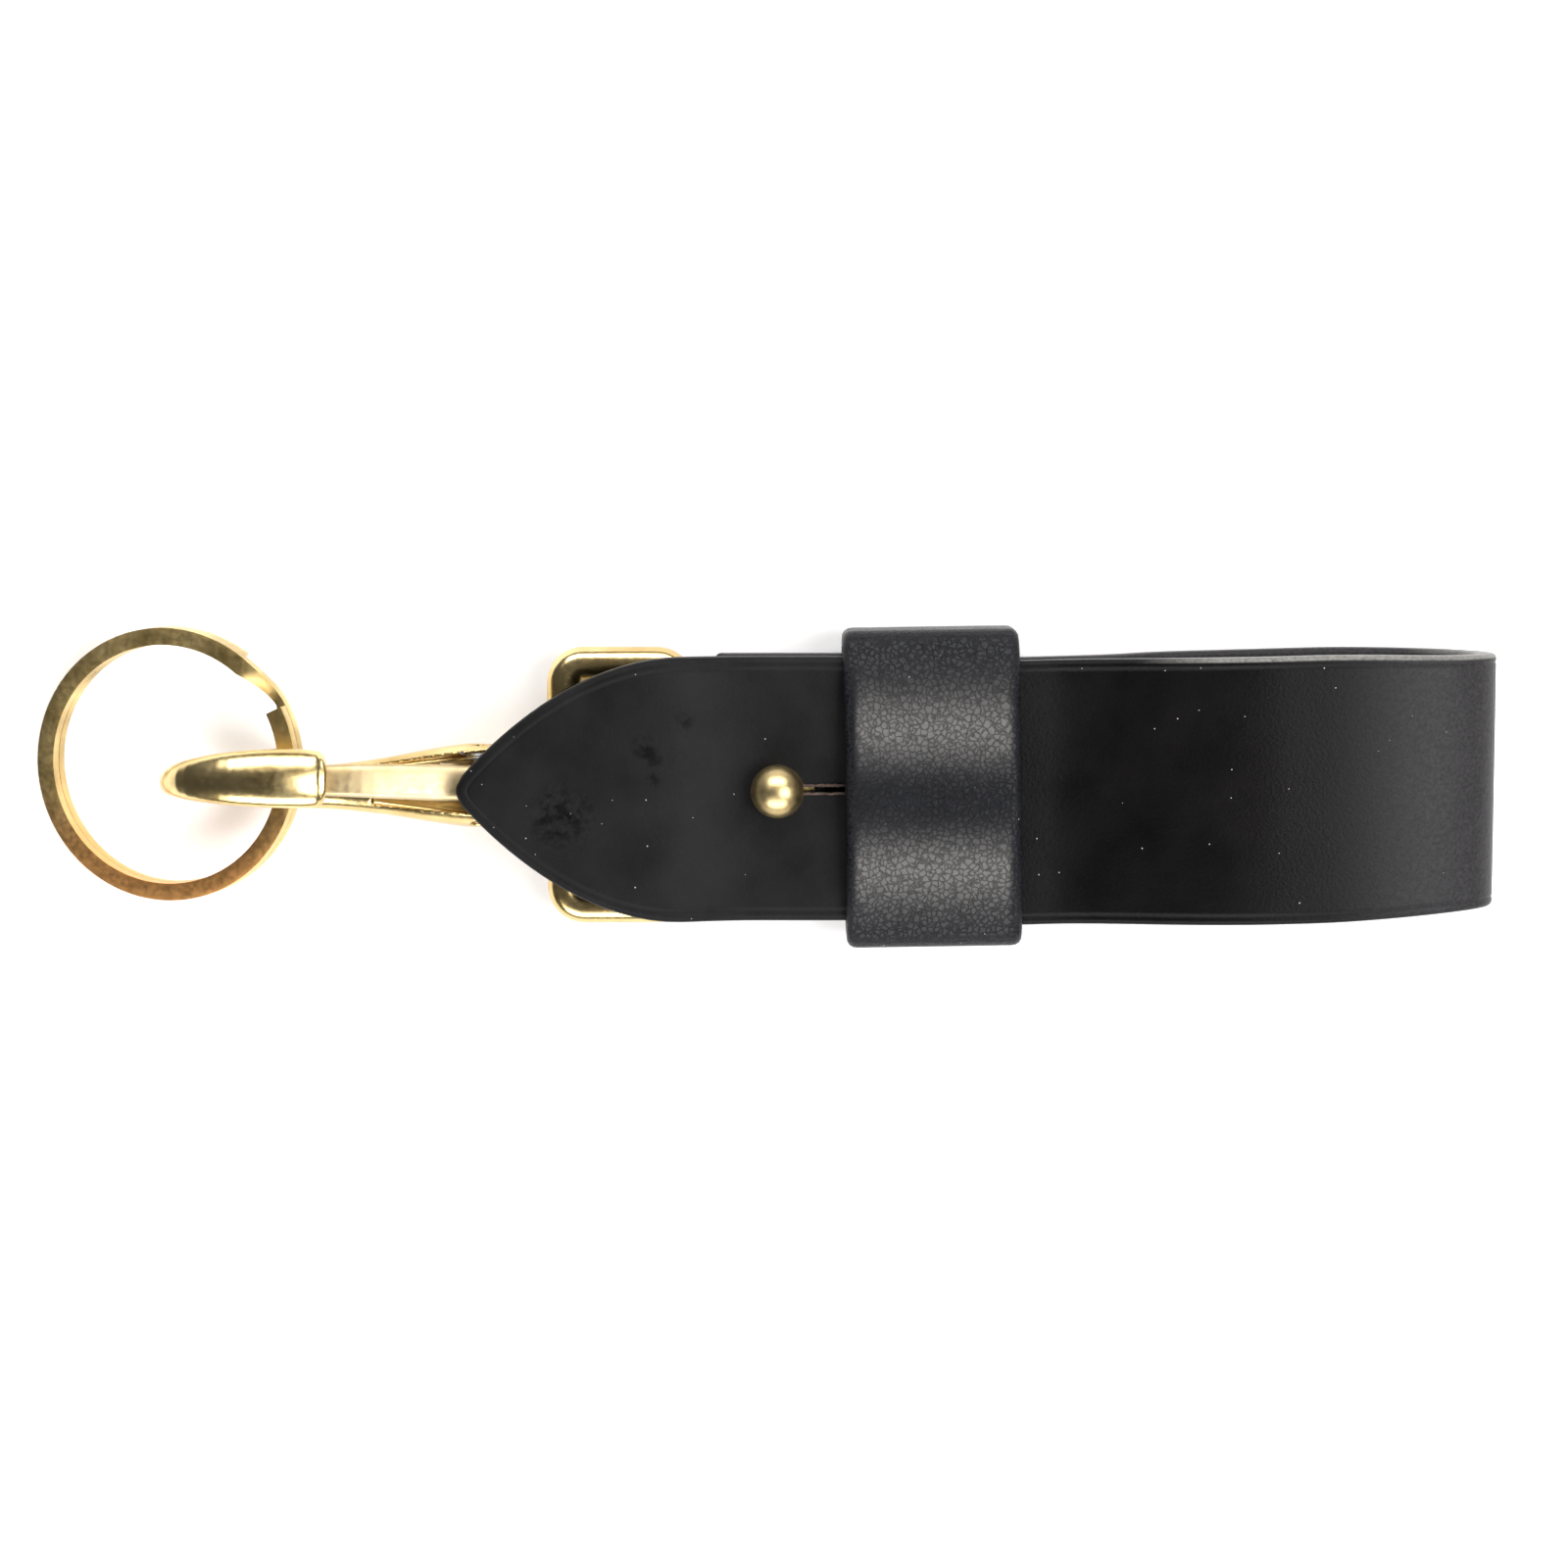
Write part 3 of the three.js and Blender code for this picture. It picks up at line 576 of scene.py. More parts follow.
def make_frame():
    half_y = frame_high.y
    half_z = FRAME_THICKNESS / 2
    piece = box_piece("frame_brass", (FRAME_LEFT, -half_y, -half_z), (frame_high.x, half_y, half_z))
    open_mesh(piece)
    pick(piece, "edges", lambda e: runs_along(e, 2))
    bpy.ops.mesh.bevel(offset=FRAME_CORNER, segments=10, profile=0.5, affect="EDGES")
    pick(piece, "faces", lambda f: abs(f.normal.z) > 0.99)
    bpy.ops.mesh.inset(thickness=FRAME_BAR, depth=0)
    bpy.ops.mesh.delete(type="FACE")
    pick(piece, "edges", lambda e: e.is_boundary)
    bpy.ops.mesh.bridge_edge_loops()
    close_mesh()
    face_outwards(piece)
    apply_modifier(
        piece, "BEVEL", width=FRAME_ROUNDING, segments=7, limit_method="ANGLE",
        angle_limit=math.radians(60), use_clamp_overlap=False)
    boss_left = FRAME_LEFT - BOSS_REACH
    boss_length = BOSS_REACH + FRAME_BAR
    join(piece, rod("boss", BOSS_RADIUS, boss_length, (boss_left + boss_length / 2, 0, 0), "X"))
    cut(piece, rod("bore", SWIVEL_BORE_RADIUS, 12, (boss_left + 3, 0, 0), "X"))
    cast(piece, 0.2, 16)
    piece.data.transform(Matrix.Translation((0, 0, AXIS_Z)))
    return piece


def cast(piece, grit, passes):
    """Turns a sharp model into a casting: one even skin with softened edges."""
    make_active(piece)
    apply_modifier(piece, "REMESH", mode="VOXEL", voxel_size=grit, use_smooth_shade=True)
    apply_modifier(piece, "SMOOTH", factor=0.5, iterations=passes)


def swept_bar(name, stations, around=32, steps=4):
    """A cast bar in the XZ plane through stations of x, z, width, thickness and squareness."""
    rows = smooth_rows(stations, steps)
    bpy.ops.object.select_all(action="DESELECT")
    bpy.ops.mesh.primitive_circle_add(vertices=around, radius=1, fill_type="NGON")
    piece = bpy.context.object
    piece.name = name
    open_mesh(piece, "VERT")
    for i, row in enumerate(rows):
        if i == 0:
            bpy.ops.mesh.select_all(action="SELECT")
        else:
            bpy.ops.mesh.extrude_region_move()
        mesh = bmesh.from_edit_mesh(piece.data)
        ring = [vert for vert in mesh.verts if vert.select]
        place_section(ring, *row)
        bmesh.update_edit_mesh(piece.data)
    close_mesh()
    face_outwards(piece)
    return piece


def place_section(ring, sizes, direction):
    x, z, width, thickness, squareness = sizes
    dx, dz = direction
    angles = sorted(range(len(ring)), key=lambda i: ring[i].index)
    for order, i in enumerate(angles):
        angle = 2 * math.pi * order / len(ring)
        across = width / 2 * soften(math.cos(angle), squareness)
        up = thickness / 2 * soften(math.sin(angle), squareness)
        ring[i].co = (x - dz * up, across, z + dx * up)


def soften(value, squareness):
    return math.copysign(abs(value) ** (2 / squareness), value)


def smooth_rows(stations, steps):
    """Stations joined by a smooth curve, with the direction at each."""
    values = [Vector(s) for s in stations]
    padded = [values[0] * 2 - values[1], *values, values[-1] * 2 - values[-2]]
    dense = []
    for i in range(len(values) - 1):
        a, b, c, d = padded[i:i + 4]
        for k in range(steps):
            t = k / steps
            dense.append((b * 2 + (c - a) * t + (a * 2 - b * 5 + c * 4 - d) * t * t
                          + (b * 3 - a - c * 3 + d) * t ** 3) / 2)
    dense.append(values[-1])
    rows = []
    for i, row in enumerate(dense):
        before, after = dense[max(i - 1, 0)], dense[min(i + 1, len(dense) - 1)]
        along = Vector((after[0] - before[0], after[1] - before[1])).normalized()
        rows.append((row, along))
    return rows


HOOK = [
    (0, 0, 7.4, 7.4, 2.7), (-3, 0, 9.4, 8.6, 2.7), (-7, -0.2, 10.2, 8.8, 2.7), (-12, -0.9, 9, 7, 2.7),
    (-18, -2.2, 7, 5.2, 2.6), (-24, -3.2, 5.6, 4.4, 2.4), (-29, -3.4, 5.2, 4.1, 2.2),
    (-35.4, -2.8, 4.8, 3.9, 2.1), (-41, 0.4, 4.1, 3.5, 2), (-43, 4.6, 3.4, 3.2, 2),
    (-40.9, 8.2, 4.7, 3.1, 2), (-36.3, 10, 6.2, 3.2, 2), (-31, 10.5, 7.0, 3.4, 2.0),
    (-27, 9.9, 7.1, 3.4, 2.1), (-24.9, 9.3, 6.7, 3.0, 2.3), (-24.3, 9.4, 5.6, 2.4, 2.5),
    (-24, 9.3, 4.0, 1.5, 2.4),
]
GATE = [
    (-4.6, 1.1, 4.4, 3.3, 4), (-8, 2.2, 4.5, 3, 4), (-14, 4.8, 4.3, 2.2, 4), (-20, 6.5, 4, 2, 4),
    (-25.3, 6.9, 3.6, 1.7, 4),
]
PIN_X, PIN_Z = -6.2, 1.2
PIN_HOLE_RADIUS = 1.05
TROUGH_END = -19.5
TROUGH_HALF, TROUGH_TIP_HALF = 4.2, 2.3


def roll_into_place(piece):
    piece.data.transform(Matrix.Translation((HOOK_SHOULDER, 0, 0)))
    piece.data.transform(Matrix.Rotation(HOOK_ROLL, 4, "X"))
    piece.data.transform(Matrix.Translation((0, 0, AXIS_Z)))


def make_hook():
    hook = swept_bar("hook_brass", HOOK)
    trough = box_piece("trough", (TROUGH_END, -TROUGH_HALF, -1.1), (-3.3, TROUGH_HALF, 8))
    open_mesh(trough)
    pick(trough, "verts", lambda v: v.co.x < TROUGH_END + 0.5)
    narrowing = TROUGH_TIP_HALF / TROUGH_HALF
    bpy.ops.transform.resize(value=(1, narrowing, 1), center_override=(TROUGH_END, 0, 0))
    close_mesh()
    cut(hook, trough)
    cut(hook, rod("bore", SWIVEL_BORE_RADIUS, 6.7, (0, 0, 0), "X"))
    cut(hook, rod("pin_hole", PIN_HOLE_RADIUS, 14, (PIN_X, 0, PIN_Z), "Y"))
    cast(hook, 0.16, 12)
    roll_into_place(hook)
    return hook


def make_gate():
    gate = swept_bar("gate_brass", GATE)
    cut(gate, rod("eye", PIN_HOLE_RADIUS, 14, (PIN_X, 0, PIN_Z), "Y"))
    cast(gate, 0.12, 8)
    roll_into_place(gate)
    return gate


RING_RADIUS = 16.65
RING_END_ANGLE = math.radians(26)
RING_TILT = math.radians(13)
RING_NARROWING = 0.5  # of the wire where it steps down past its own end


def make_ring():
    """Flat wire wound almost twice round, stepping down from the upper coil to the lower one."""
    wide, thick, coil_gap = 2.1, 1.55, 0.17
    level = (thick + coil_gap) / 2
    inner = RING_RADIUS - wide
    ring = box_piece("ring_brass", (inner, 0, level - thick / 2), (RING_RADIUS, 0.02, level + thick / 2))
    ring.data.transform(Matrix.Rotation(RING_END_ANGLE, 4, "Z"))
    open_mesh(ring)
    turn_wire(ring, 336, 0, 112)
    turn_wire(ring, 22, -2 * level, 16, RING_NARROWING)
    turn_wire(ring, 10, 0, 6, 1 / RING_NARROWING)
    turn_wire(ring, 324, 0, 108)
    close_mesh()
    face_outwards(ring)
    apply_modifier(ring, "BEVEL", width=0.22, segments=3, limit_method="ANGLE", angle_limit=math.radians(50))
    smooth(ring, 40)
    ring.data.transform(Matrix.Rotation(-RING_TILT, 4, "Y"))
    centre = (ring_low + ring_high) / 2
    ring.data.transform(Matrix.Translation((centre.x, centre.y, centre.z)))
    return ring


def turn_wire(ring, degrees, drop, steps, width_change=1):
    """Winds the wire's free end clockwise round the ring's axis, and may narrow it from inside."""
    ahead = Vector((math.sin(RING_END_ANGLE), -math.cos(RING_END_ANGLE), 0))
    for i in range(steps):
        mesh = bmesh.from_edit_mesh(ring.data)
        if not any(face.select for face in mesh.faces):
            pick(ring, "faces", lambda f: f.normal.dot(ahead) > 0.99)
        bpy.ops.mesh.extrude_region_move()
        share = [0.5 - 0.5 * math.cos(math.pi * k / steps) for k in (i, i + 1)]
        mesh = bmesh.from_edit_mesh(ring.data)
        step = Matrix.Rotation(-math.radians(degrees) / steps, 4, "Z")
        for vert in mesh.verts:
            if vert.select:
                vert.co = step @ vert.co
                vert.co.z += drop * (share[1] - share[0])
                if width_change != 1:
                    reach = vert.co.xy.length
                    held = RING_RADIUS - (RING_RADIUS - reach) * width_change ** (1 / steps)
                    vert.co.xy *= held / reach
        bmesh.update_edit_mesh(ring.data)


# ------------------------------------------------------------------ materials


def node(tree, kind, x=0, y=0, **settings):
    made = tree.nodes.new(kind)
    made.location = (x, y)
    for name, value in settings.items():
        setattr(made, name, value)
    return made


def grain_group():
    """Leather grain: fine pores, a wrinkle net and slow mottling."""
    tree = bpy.data.node_groups.new("leather_grain", "ShaderNodeTree")
    sockets = tree.interface
    sockets.new_socket("Place", in_out="INPUT", socket_type="NodeSocketVector")
    for name in ("Pore Scale", "Wrinkle Scale", "Wrinkle", "Speck Scale"):
        sockets.new_socket(name, in_out="INPUT", socket_type="NodeSocketFloat")
    for name in ("Height", "Mottle", "Specks", "Blotch"):
        sockets.new_socket(name, in_out="OUTPUT", socket_type="NodeSocketFloat")
    given = node(tree, "NodeGroupInput", -900)
    result = node(tree, "NodeGroupOutput", 700)
    link = tree.links.new
    pores = node(tree, "ShaderNodeTexVoronoi", -600, 300)
    link(given.outputs["Place"], pores.inputs["Vector"])
    link(given.outputs["Pore Scale"], pores.inputs["Scale"])
    fine = node(tree, "ShaderNodeTexNoise", -600, 0)
    fine.inputs["Detail"].default_value = 6
    fine.inputs["Roughness"].default_value = 0.6
    link(given.outputs["Place"], fine.inputs["Vector"])
    link(given.outputs["Pore Scale"], fine.inputs["Scale"])
    bent = node(tree, "ShaderNodeMixRGB", -420, -260, blend_type="LINEAR_LIGHT")
    bent.inputs["Fac"].default_value = 0.0004
    link(given.outputs["Place"], bent.inputs[1])
    link(fine.outputs["Color"], bent.inputs[2])
    net = node(tree, "ShaderNodeTexVoronoi", -200, -260, feature="DISTANCE_TO_EDGE")
    link(bent.outputs[0], net.inputs["Vector"])
    link(given.outputs["Wrinkle Scale"], net.inputs["Scale"])
    ridge = node(tree, "ShaderNodeMapRange", 0, -260, interpolation_type="SMOOTHSTEP")
    ridge.inputs["From Max"].default_value = 0.16
    link(net.outputs["Distance"], ridge.inputs["Value"])
    wrinkle = node(tree, "ShaderNodeMath", 180, -200, operation="MULTIPLY")
    link(ridge.outputs["Result"], wrinkle.inputs[0])
    link(given.outputs["Wrinkle"], wrinkle.inputs[1])
    pit = node(tree, "ShaderNodeMath", -200, 200, operation="MULTIPLY_ADD")
    pit.inputs[1].default_value = 0.35
    link(pores.outputs["Distance"], pit.inputs[0])
    link(fine.outputs["Fac"], pit.inputs[2])
    height = node(tree, "ShaderNodeMath", 400, 100, operation="ADD")
    link(pit.outputs[0], height.inputs[0])
    link(wrinkle.outputs[0], height.inputs[1])
    link(height.outputs[0], result.inputs["Height"])
    slow = node(tree, "ShaderNodeTexNoise", -200, -520)
    slow.inputs["Scale"].default_value = 140
    slow.inputs["Detail"].default_value = 4
    link(given.outputs["Place"], slow.inputs["Vector"])
    link(slow.outputs["Fac"], result.inputs["Mottle"])
    patchy = node(tree, "ShaderNodeTexNoise", -200, -1050)
    patchy.inputs["Scale"].default_value = 900
    patchy.inputs["Detail"].default_value = 6
    patchy.inputs["Roughness"].default_value = 0.65
    link(given.outputs["Place"], patchy.inputs["Vector"])
    broken = node(tree, "ShaderNodeMapRange", 0, -1050, interpolation_type="SMOOTHSTEP")
    broken.inputs["From Min"].default_value = 0.42
    broken.inputs["From Max"].default_value = 0.58
    link(patchy.outputs["Fac"], broken.inputs["Value"])
    link(broken.outputs["Result"], result.inputs["Blotch"])
    dust = node(tree, "ShaderNodeTexVoronoi", -200, -760)
    link(given.outputs["Place"], dust.inputs["Vector"])
    link(given.outputs["Speck Scale"], dust.inputs["Scale"])
    near = node(tree, "ShaderNodeMath", 0, -760, operation="LESS_THAN")
    near.inputs[1].default_value = 0.055
    link(dust.outputs["Distance"], near.inputs[0])
    tone = node(tree, "ShaderNodeSeparateColor", 0, -900)
    link(dust.outputs["Color"], tone.inputs[0])
    few = node(tree, "ShaderNodeMath", 180, -860, operation="GREATER_THAN")
    few.inputs[1].default_value = 0.75
    link(tone.outputs["Red"], few.inputs[0])
    both = node(tree, "ShaderNodeMath", 360, -800, operation="MULTIPLY")
    link(near.outputs[0], both.inputs[0])
    link(few.outputs[0], both.inputs[1])
    link(both.outputs[0], result.inputs["Specks"])
    return tree


GRAIN = grain_group()


def colour_ramp(tree, stops, x=0, y=0):
    ramp = node(tree, "ShaderNodeValToRGB", x, y)
    elements = ramp.color_ramp.elements
    while len(elements) < len(stops):
        elements.new(0.5)
    for element, (place, colour) in zip(elements, stops):
        element.position = place
        element.color = (*colour, 1)
    return ramp


def distance_mask(tree, source, spot, reach, softness):
    """1 near a spot on the hide and 0 beyond its reach."""
    link = tree.links.new
    away = node(tree, "ShaderNodeVectorMath", operation="DISTANCE")
    away.inputs[1].default_value = spot
    link(source, away.inputs[0])
    fade = node(tree, "ShaderNodeMapRange", interpolation_type="SMOOTHSTEP")
    fade.inputs["From Min"].default_value = reach
    fade.inputs["From Max"].default_value = reach * softness
    link(away.outputs["Value"], fade.inputs["Value"])
    return fade.outputs["Result"]


def painted_highlight_band_mask(tree, source):
    """1 on the two bands along the keeper where a lighter tone is painted as a highlight, and 0 in its
    middle, sides and dark rims.
    """
    link = tree.links.new
    centred = node(tree, "ShaderNodeVectorMath", operation="SUBTRACT")
    centred.inputs[1].default_value = ((keeper_low.x + keeper_high.x) / 2 * MM, -0.0009, 0)
    link(source, centred.inputs[0])
    mirrored = node(tree, "ShaderNodeVectorMath", operation="ABSOLUTE")
    link(centred.outputs[0], mirrored.inputs[0])
    place = node(tree, "ShaderNodeSeparateXYZ")
    link(mirrored.outputs[0], place.inputs[0])
    ramp = colour_ramp(tree, [(0.0, (0, 0, 0)), (0.2, (0, 0, 0)), (0.42, (1, 1, 1)), (0.68, (0, 0, 0))])
    ramp.color_ramp.interpolation = "B_SPLINE"
    link(times(tree, place.outputs["Y"], 50), ramp.inputs["Fac"])
    inside = node(tree, "ShaderNodeMapRange", interpolation_type="SMOOTHSTEP")
    inside.inputs["From Min"].default_value = 0.0097
    inside.inputs["From Max"].default_value = 0.0087
    link(place.outputs["X"], inside.inputs["Value"])
    return times(tree, ramp.outputs["Color"], inside.outputs["Result"])


def times(tree, a, b):
    product = node(tree, "ShaderNodeMath", operation="MULTIPLY")
    for value, socket in ((a, product.inputs[0]), (b, product.inputs[1])):
        if isinstance(value, (int, float)):
            socket.default_value = value
        else:
            tree.links.new(value, socket)
    return product.outputs[0]


def mixed(tree, mask, base, colour):
    mix = node(tree, "ShaderNodeMixRGB")
    tree.links.new(mask, mix.inputs["Fac"])
    tree.links.new(base, mix.inputs[1])
    mix.inputs[2].default_value = (*colour, 1)
    return mix.outputs[0]


def leather(
        name, tones, roughness, pores, wrinkles, wrinkle, bump, shine_level,
        smudges=(), creased=(), painted_highlight_tone=None, painted_sheen=None):
    """Leather whose grain, marks, raw edge and painted highlights (the keeper's bands, the sheen toward the
    loop's bend) follow the hide attribute.
    """
    material = bpy.data.materials.new(name)
    material.use_nodes = True
    tree = material.node_tree
    link = tree.links.new
    shader = tree.nodes["Principled BSDF"]
    hide = node(tree, "ShaderNodeAttribute", -1100, attribute_name="hide")
    grain = node(tree, "ShaderNodeGroup", -850, node_tree=GRAIN)
    link(hide.outputs["Vector"], grain.inputs["Place"])
    grain.inputs["Pore Scale"].default_value = pores
    grain.inputs["Wrinkle Scale"].default_value = wrinkles
    grain.inputs["Wrinkle"].default_value = wrinkle
    grain.inputs["Speck Scale"].default_value = 760
    ramp = colour_ramp(tree, [(0.3, tones[0]), (0.7, tones[1])], -600, 200)
    link(grain.outputs["Mottle"], ramp.inputs["Fac"])
    colour = mixed(tree, grain.outputs["Specks"], ramp.outputs["Color"], (0.4, 0.38, 0.35))
    for spot, reach in smudges:
        mark = distance_mask(tree, hide.outputs["Vector"], spot, reach, 0.2)
        stain = times(tree, mark, grain.outputs["Blotch"])
        colour = mixed(tree, times(tree, stain, 0.9), colour, (0.001, 0.001, 0.001))
    # Painted highlight: two lighter bands mixed into the keeper's colour, standing in for the softboxes'
    # reflection on its bowed top.
    if painted_highlight_tone:
        painted_highlight = times(tree, painted_highlight_band_mask(tree, hide.outputs["Vector"]), grain.outputs["Height"])
        colour = mixed(tree, times(tree, painted_highlight, 0.8), colour, painted_highlight_tone)
    # Painted sheen: the colour turns lighter grey over a stretch of the hide, standing in for light caught
    # where the loop turns down to its bend.
    if painted_sheen:
        start, end, tone = painted_sheen
        place = node(tree, "ShaderNodeSeparateXYZ")
        link(hide.outputs["Vector"], place.inputs[0])
        toward = node(tree, "ShaderNodeMapRange", interpolation_type="SMOOTHSTEP")
        toward.inputs["From Min"].default_value = start
        toward.inputs["From Max"].default_value = end
        link(place.outputs["X"], toward.inputs["Value"])
        colour = mixed(tree, times(tree, toward.outputs["Result"], grain.outputs["Height"]), colour, tone)
    raw = node(tree, "ShaderNodeAttribute", -1100, 300, attribute_name="raw_edge")
    fibre = times(tree, raw.outputs["Fac"], grain.outputs["Height"])
    colour = mixed(tree, fibre, colour, (0.2, 0.195, 0.18))
    link(colour, shader.inputs["Base Color"])
    for spot, reach in creased:
        patch = distance_mask(tree, hide.outputs["Vector"], spot, reach, 0.3)
        link(times(tree, patch, 1.3), grain.inputs["Wrinkle"])
    shader.inputs["Specular IOR Level"].default_value = shine_level
    shine = node(tree, "ShaderNodeMapRange", -600, -100)
    shine.inputs["To Min"].default_value = roughness - 0.05
    shine.inputs["To Max"].default_value = roughness + 0.06
    link(grain.outputs["Mottle"], shine.inputs["Value"])
    link(shine.outputs["Result"], shader.inputs["Roughness"])
    relief = node(tree, "ShaderNodeBump", -300, -300)
    relief.inputs["Strength"].default_value = bump
    relief.inputs["Distance"].default_value = 0.00012
    link(grain.outputs["Height"], relief.inputs["Height"])
    link(relief.outputs["Normal"], shader.inputs["Normal"])
    return material


def patina_group():
    """Wear on metal: slow tarnish, fine scuffs and shallow casting waves."""
    tree = bpy.data.node_groups.new("metal_patina", "ShaderNodeTree")
    sockets = tree.interface
    sockets.new_socket("Place", in_out="INPUT", socket_type="NodeSocketVector")
    sockets.new_socket("Scuff Scale", in_out="INPUT", socket_type="NodeSocketFloat")
    for name in ("Tarnish", "Scuff", "Waves"):
        sockets.new_socket(name, in_out="OUTPUT", socket_type="NodeSocketFloat")
    given = node(tree, "NodeGroupInput", -600)
    result = node(tree, "NodeGroupOutput", 400)
    link = tree.links.new
    slow = node(tree, "ShaderNodeTexNoise", -300, 200)
    slow.inputs["Scale"].default_value = 170
    slow.inputs["Detail"].default_value = 6
    link(given.outputs["Place"], slow.inputs["Vector"])
    link(slow.outputs["Fac"], result.inputs["Tarnish"])
    fine = node(tree, "ShaderNodeTexNoise", -300, 0)
    fine.inputs["Detail"].default_value = 3
    link(given.outputs["Place"], fine.inputs["Vector"])
    link(given.outputs["Scuff Scale"], fine.inputs["Scale"])
    link(fine.outputs["Fac"], result.inputs["Scuff"])
    waves = node(tree, "ShaderNodeTexNoise", -300, -200)
    waves.inputs["Scale"].default_value = 330
    waves.inputs["Detail"].default_value = 2
    link(given.outputs["Place"], waves.inputs["Vector"])
    link(waves.outputs["Fac"], result.inputs["Waves"])
    return tree


PATINA = patina_group()


def brass(name, bright, dull, roughness, wear=0.35, metal=1.0, dents=0.5, warm=None):
    material = bpy.data.materials.new(name)
    material.use_nodes = True
    tree = material.node_tree
    link = tree.links.new
    shader = tree.nodes["Principled BSDF"]
    place = node(tree, "ShaderNodeTexCoord", -1100)
    patina = node(tree, "ShaderNodeGroup", -850, node_tree=PATINA)
    patina.inputs["Scuff Scale"].default_value = 1500
    link(place.outputs["Object"], patina.inputs["Place"])
    ramp = colour_ramp(tree, [(0.35, bright), (0.7, dull)], -600, 200)
    link(patina.outputs["Tarnish"], ramp.inputs["Fac"])
    colour = ramp.outputs["Color"]
    if warm:
        side = node(tree, "ShaderNodeSeparateXYZ")
        link(place.outputs["Object"], side.inputs[0])
        toward = node(tree, "ShaderNodeMapRange", interpolation_type="SMOOTHSTEP")
        toward.inputs["From Min"].default_value = 0.002
        toward.inputs["From Max"].default_value = -0.0115
        link(side.outputs["Y"], toward.inputs["Value"])
        colour = mixed(tree, toward.outputs["Result"], colour, warm)
    link(colour, shader.inputs["Base Color"])
    shine = node(tree, "ShaderNodeMapRange", -600, -100)
    shine.inputs["To Min"].default_value = roughness * (1 - wear)
    shine.inputs["To Max"].default_value = roughness * (1 + wear)
    link(patina.outputs["Scuff"], shine.inputs["Value"])
    link(shine.outputs["Result"], shader.inputs["Roughness"])
    relief = node(tree, "ShaderNodeBump", -300, -300)
    relief.inputs["Strength"].default_value = dents
    relief.inputs["Distance"].default_value = 0.00012
    link(patina.outputs["Waves"], relief.inputs["Height"])
    link(relief.outputs["Normal"], shader.inputs["Normal"])
    shader.inputs["Metallic"].default_value = metal
    return material


ON_TAB = FLAT_STUD * MM
TAB_LEATHER = leather(
    "tab_black", [(0.006, 0.0059, 0.006), (0.0105, 0.0103, 0.0105)],
    roughness=0.42, pores=2600, wrinkles=950, wrinkle=0.12, bump=0.36, shine_level=0.06,
    smudges=[
        ((ON_TAB - 0.0163, 0.0053, 0.0014), 0.0019), ((ON_TAB - 0.0153, 0.0039, 0.0014), 0.0016),
        ((ON_TAB - 0.0152, 0.0015, 0.0014), 0.0012), ((ON_TAB - 0.0115, 0.0084, 0.0014), 0.0014),
        ((ON_TAB - 0.0262, -0.003, 0.0014), 0.0052)],
    creased=[((ON_TAB - 0.0262, -0.0036, 0.0014), 0.006)])
# Toward the bend the loop's top is painted lighter grey: a painted sheen where it turns down to its end.
LOOP_LEATHER = leather(
    "loop_black", [(0.0012, 0.001, 0.0011), (0.0032, 0.0028, 0.003)],
    roughness=0.4, pores=2600, wrinkles=950, wrinkle=0.1, bump=0.34, shine_level=0.1,
    painted_sheen=((FLAT_BEND - 24) * MM, (FLAT_BEND - 4) * MM, (0.034, 0.0325, 0.034)))
# The keeper's two lighter bands along its top are a painted highlight on its bowed top.
KEEPER_LEATHER = leather(
    "keeper_black", [(0.004, 0.0042, 0.0058), (0.008, 0.0082, 0.0105)],
    roughness=0.32, pores=2100, wrinkles=1400, wrinkle=1.0, bump=0.75, shine_level=0.16,
    painted_highlight_tone=(0.11, 0.106, 0.102))
RAW_HIDE = leather(
    "raw_hide", [(0.02, 0.012, 0.01), (0.24, 0.16, 0.13)],
    roughness=0.75, pores=4200, wrinkles=2400, wrinkle=0.8, bump=0.9, shine_level=0.3)
BRASS = brass("polished_brass", (0.78, 0.6, 0.29), (0.5, 0.35, 0.13), 0.23)
# The gate gets a darker, duller copy of the polished brass: painted shade that dims the softbox's reflection
# on its top.
GATE_BRASS_PAINTED_SHADE = brass("gate_brass", (0.6, 0.49, 0.3), (0.44, 0.33, 0.17), 0.46)
STUD_BRASS = brass("stud_brass", (0.62, 0.49, 0.25), (0.5, 0.37, 0.17), 0.36, dents=0.2)
RING_BRASS = brass(
    "ring_brass", (0.84, 0.62, 0.27), (0.42, 0.3, 0.11), 0.37, 0.35, dents=0.5, warm=(1.0, 0.5, 0.17))
STEEL = brass("spring_steel", (0.62, 0.61, 0.59), (0.5, 0.5, 0.49), 0.3)
THREAD = brass("waxed_thread", (0.02, 0.02, 0.022), (0.03, 0.03, 0.03), 0.6, 0.2, 0.0)


def dress(piece, material):
    piece.data.materials.clear()
    piece.data.materials.append(material)


# ------------------------------------------------------------------ assembly


def place(piece, material, slot, body, *nodes):
    carry_to_frame(piece)
    dress(piece, material)
    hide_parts(*nodes)
    if body:
        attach(piece, body)
    return piece


tab = place(make_tab(), TAB_LEATHER, "strap_leather", None, "tab")
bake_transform(tab)
for lip in (make_slit_lip("slit_lip_far", 1, 0.34, 3), make_slit_lip("slit_lip_near", -1, 0.2, 8)):
    carry_to_frame(lip)
    dress(lip, RAW_HIDE)
    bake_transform(lip)
place(make_strap(), LOOP_LEATHER, "strap_leather", "strap_body", "strap")
place(make_keeper(), KEEPER_LEATHER, "keeper_leather", "keeper_body", "keeper")
place(make_stud(), STUD_BRASS, "brass", "strap_body", "ball_stud")
place(make_frame(), BRASS, "brass", "frame_body", "frame")
place(make_hook(), BRASS, "brass", "hook_body", "hook")
place(make_gate(), GATE_BRASS_PAINTED_SHADE, "brass", "gate_body", "gate")
place(make_ring(), RING_BRASS, "ring_brass", "ring_body", "split_ring")
bpy.data.objects.remove(line)

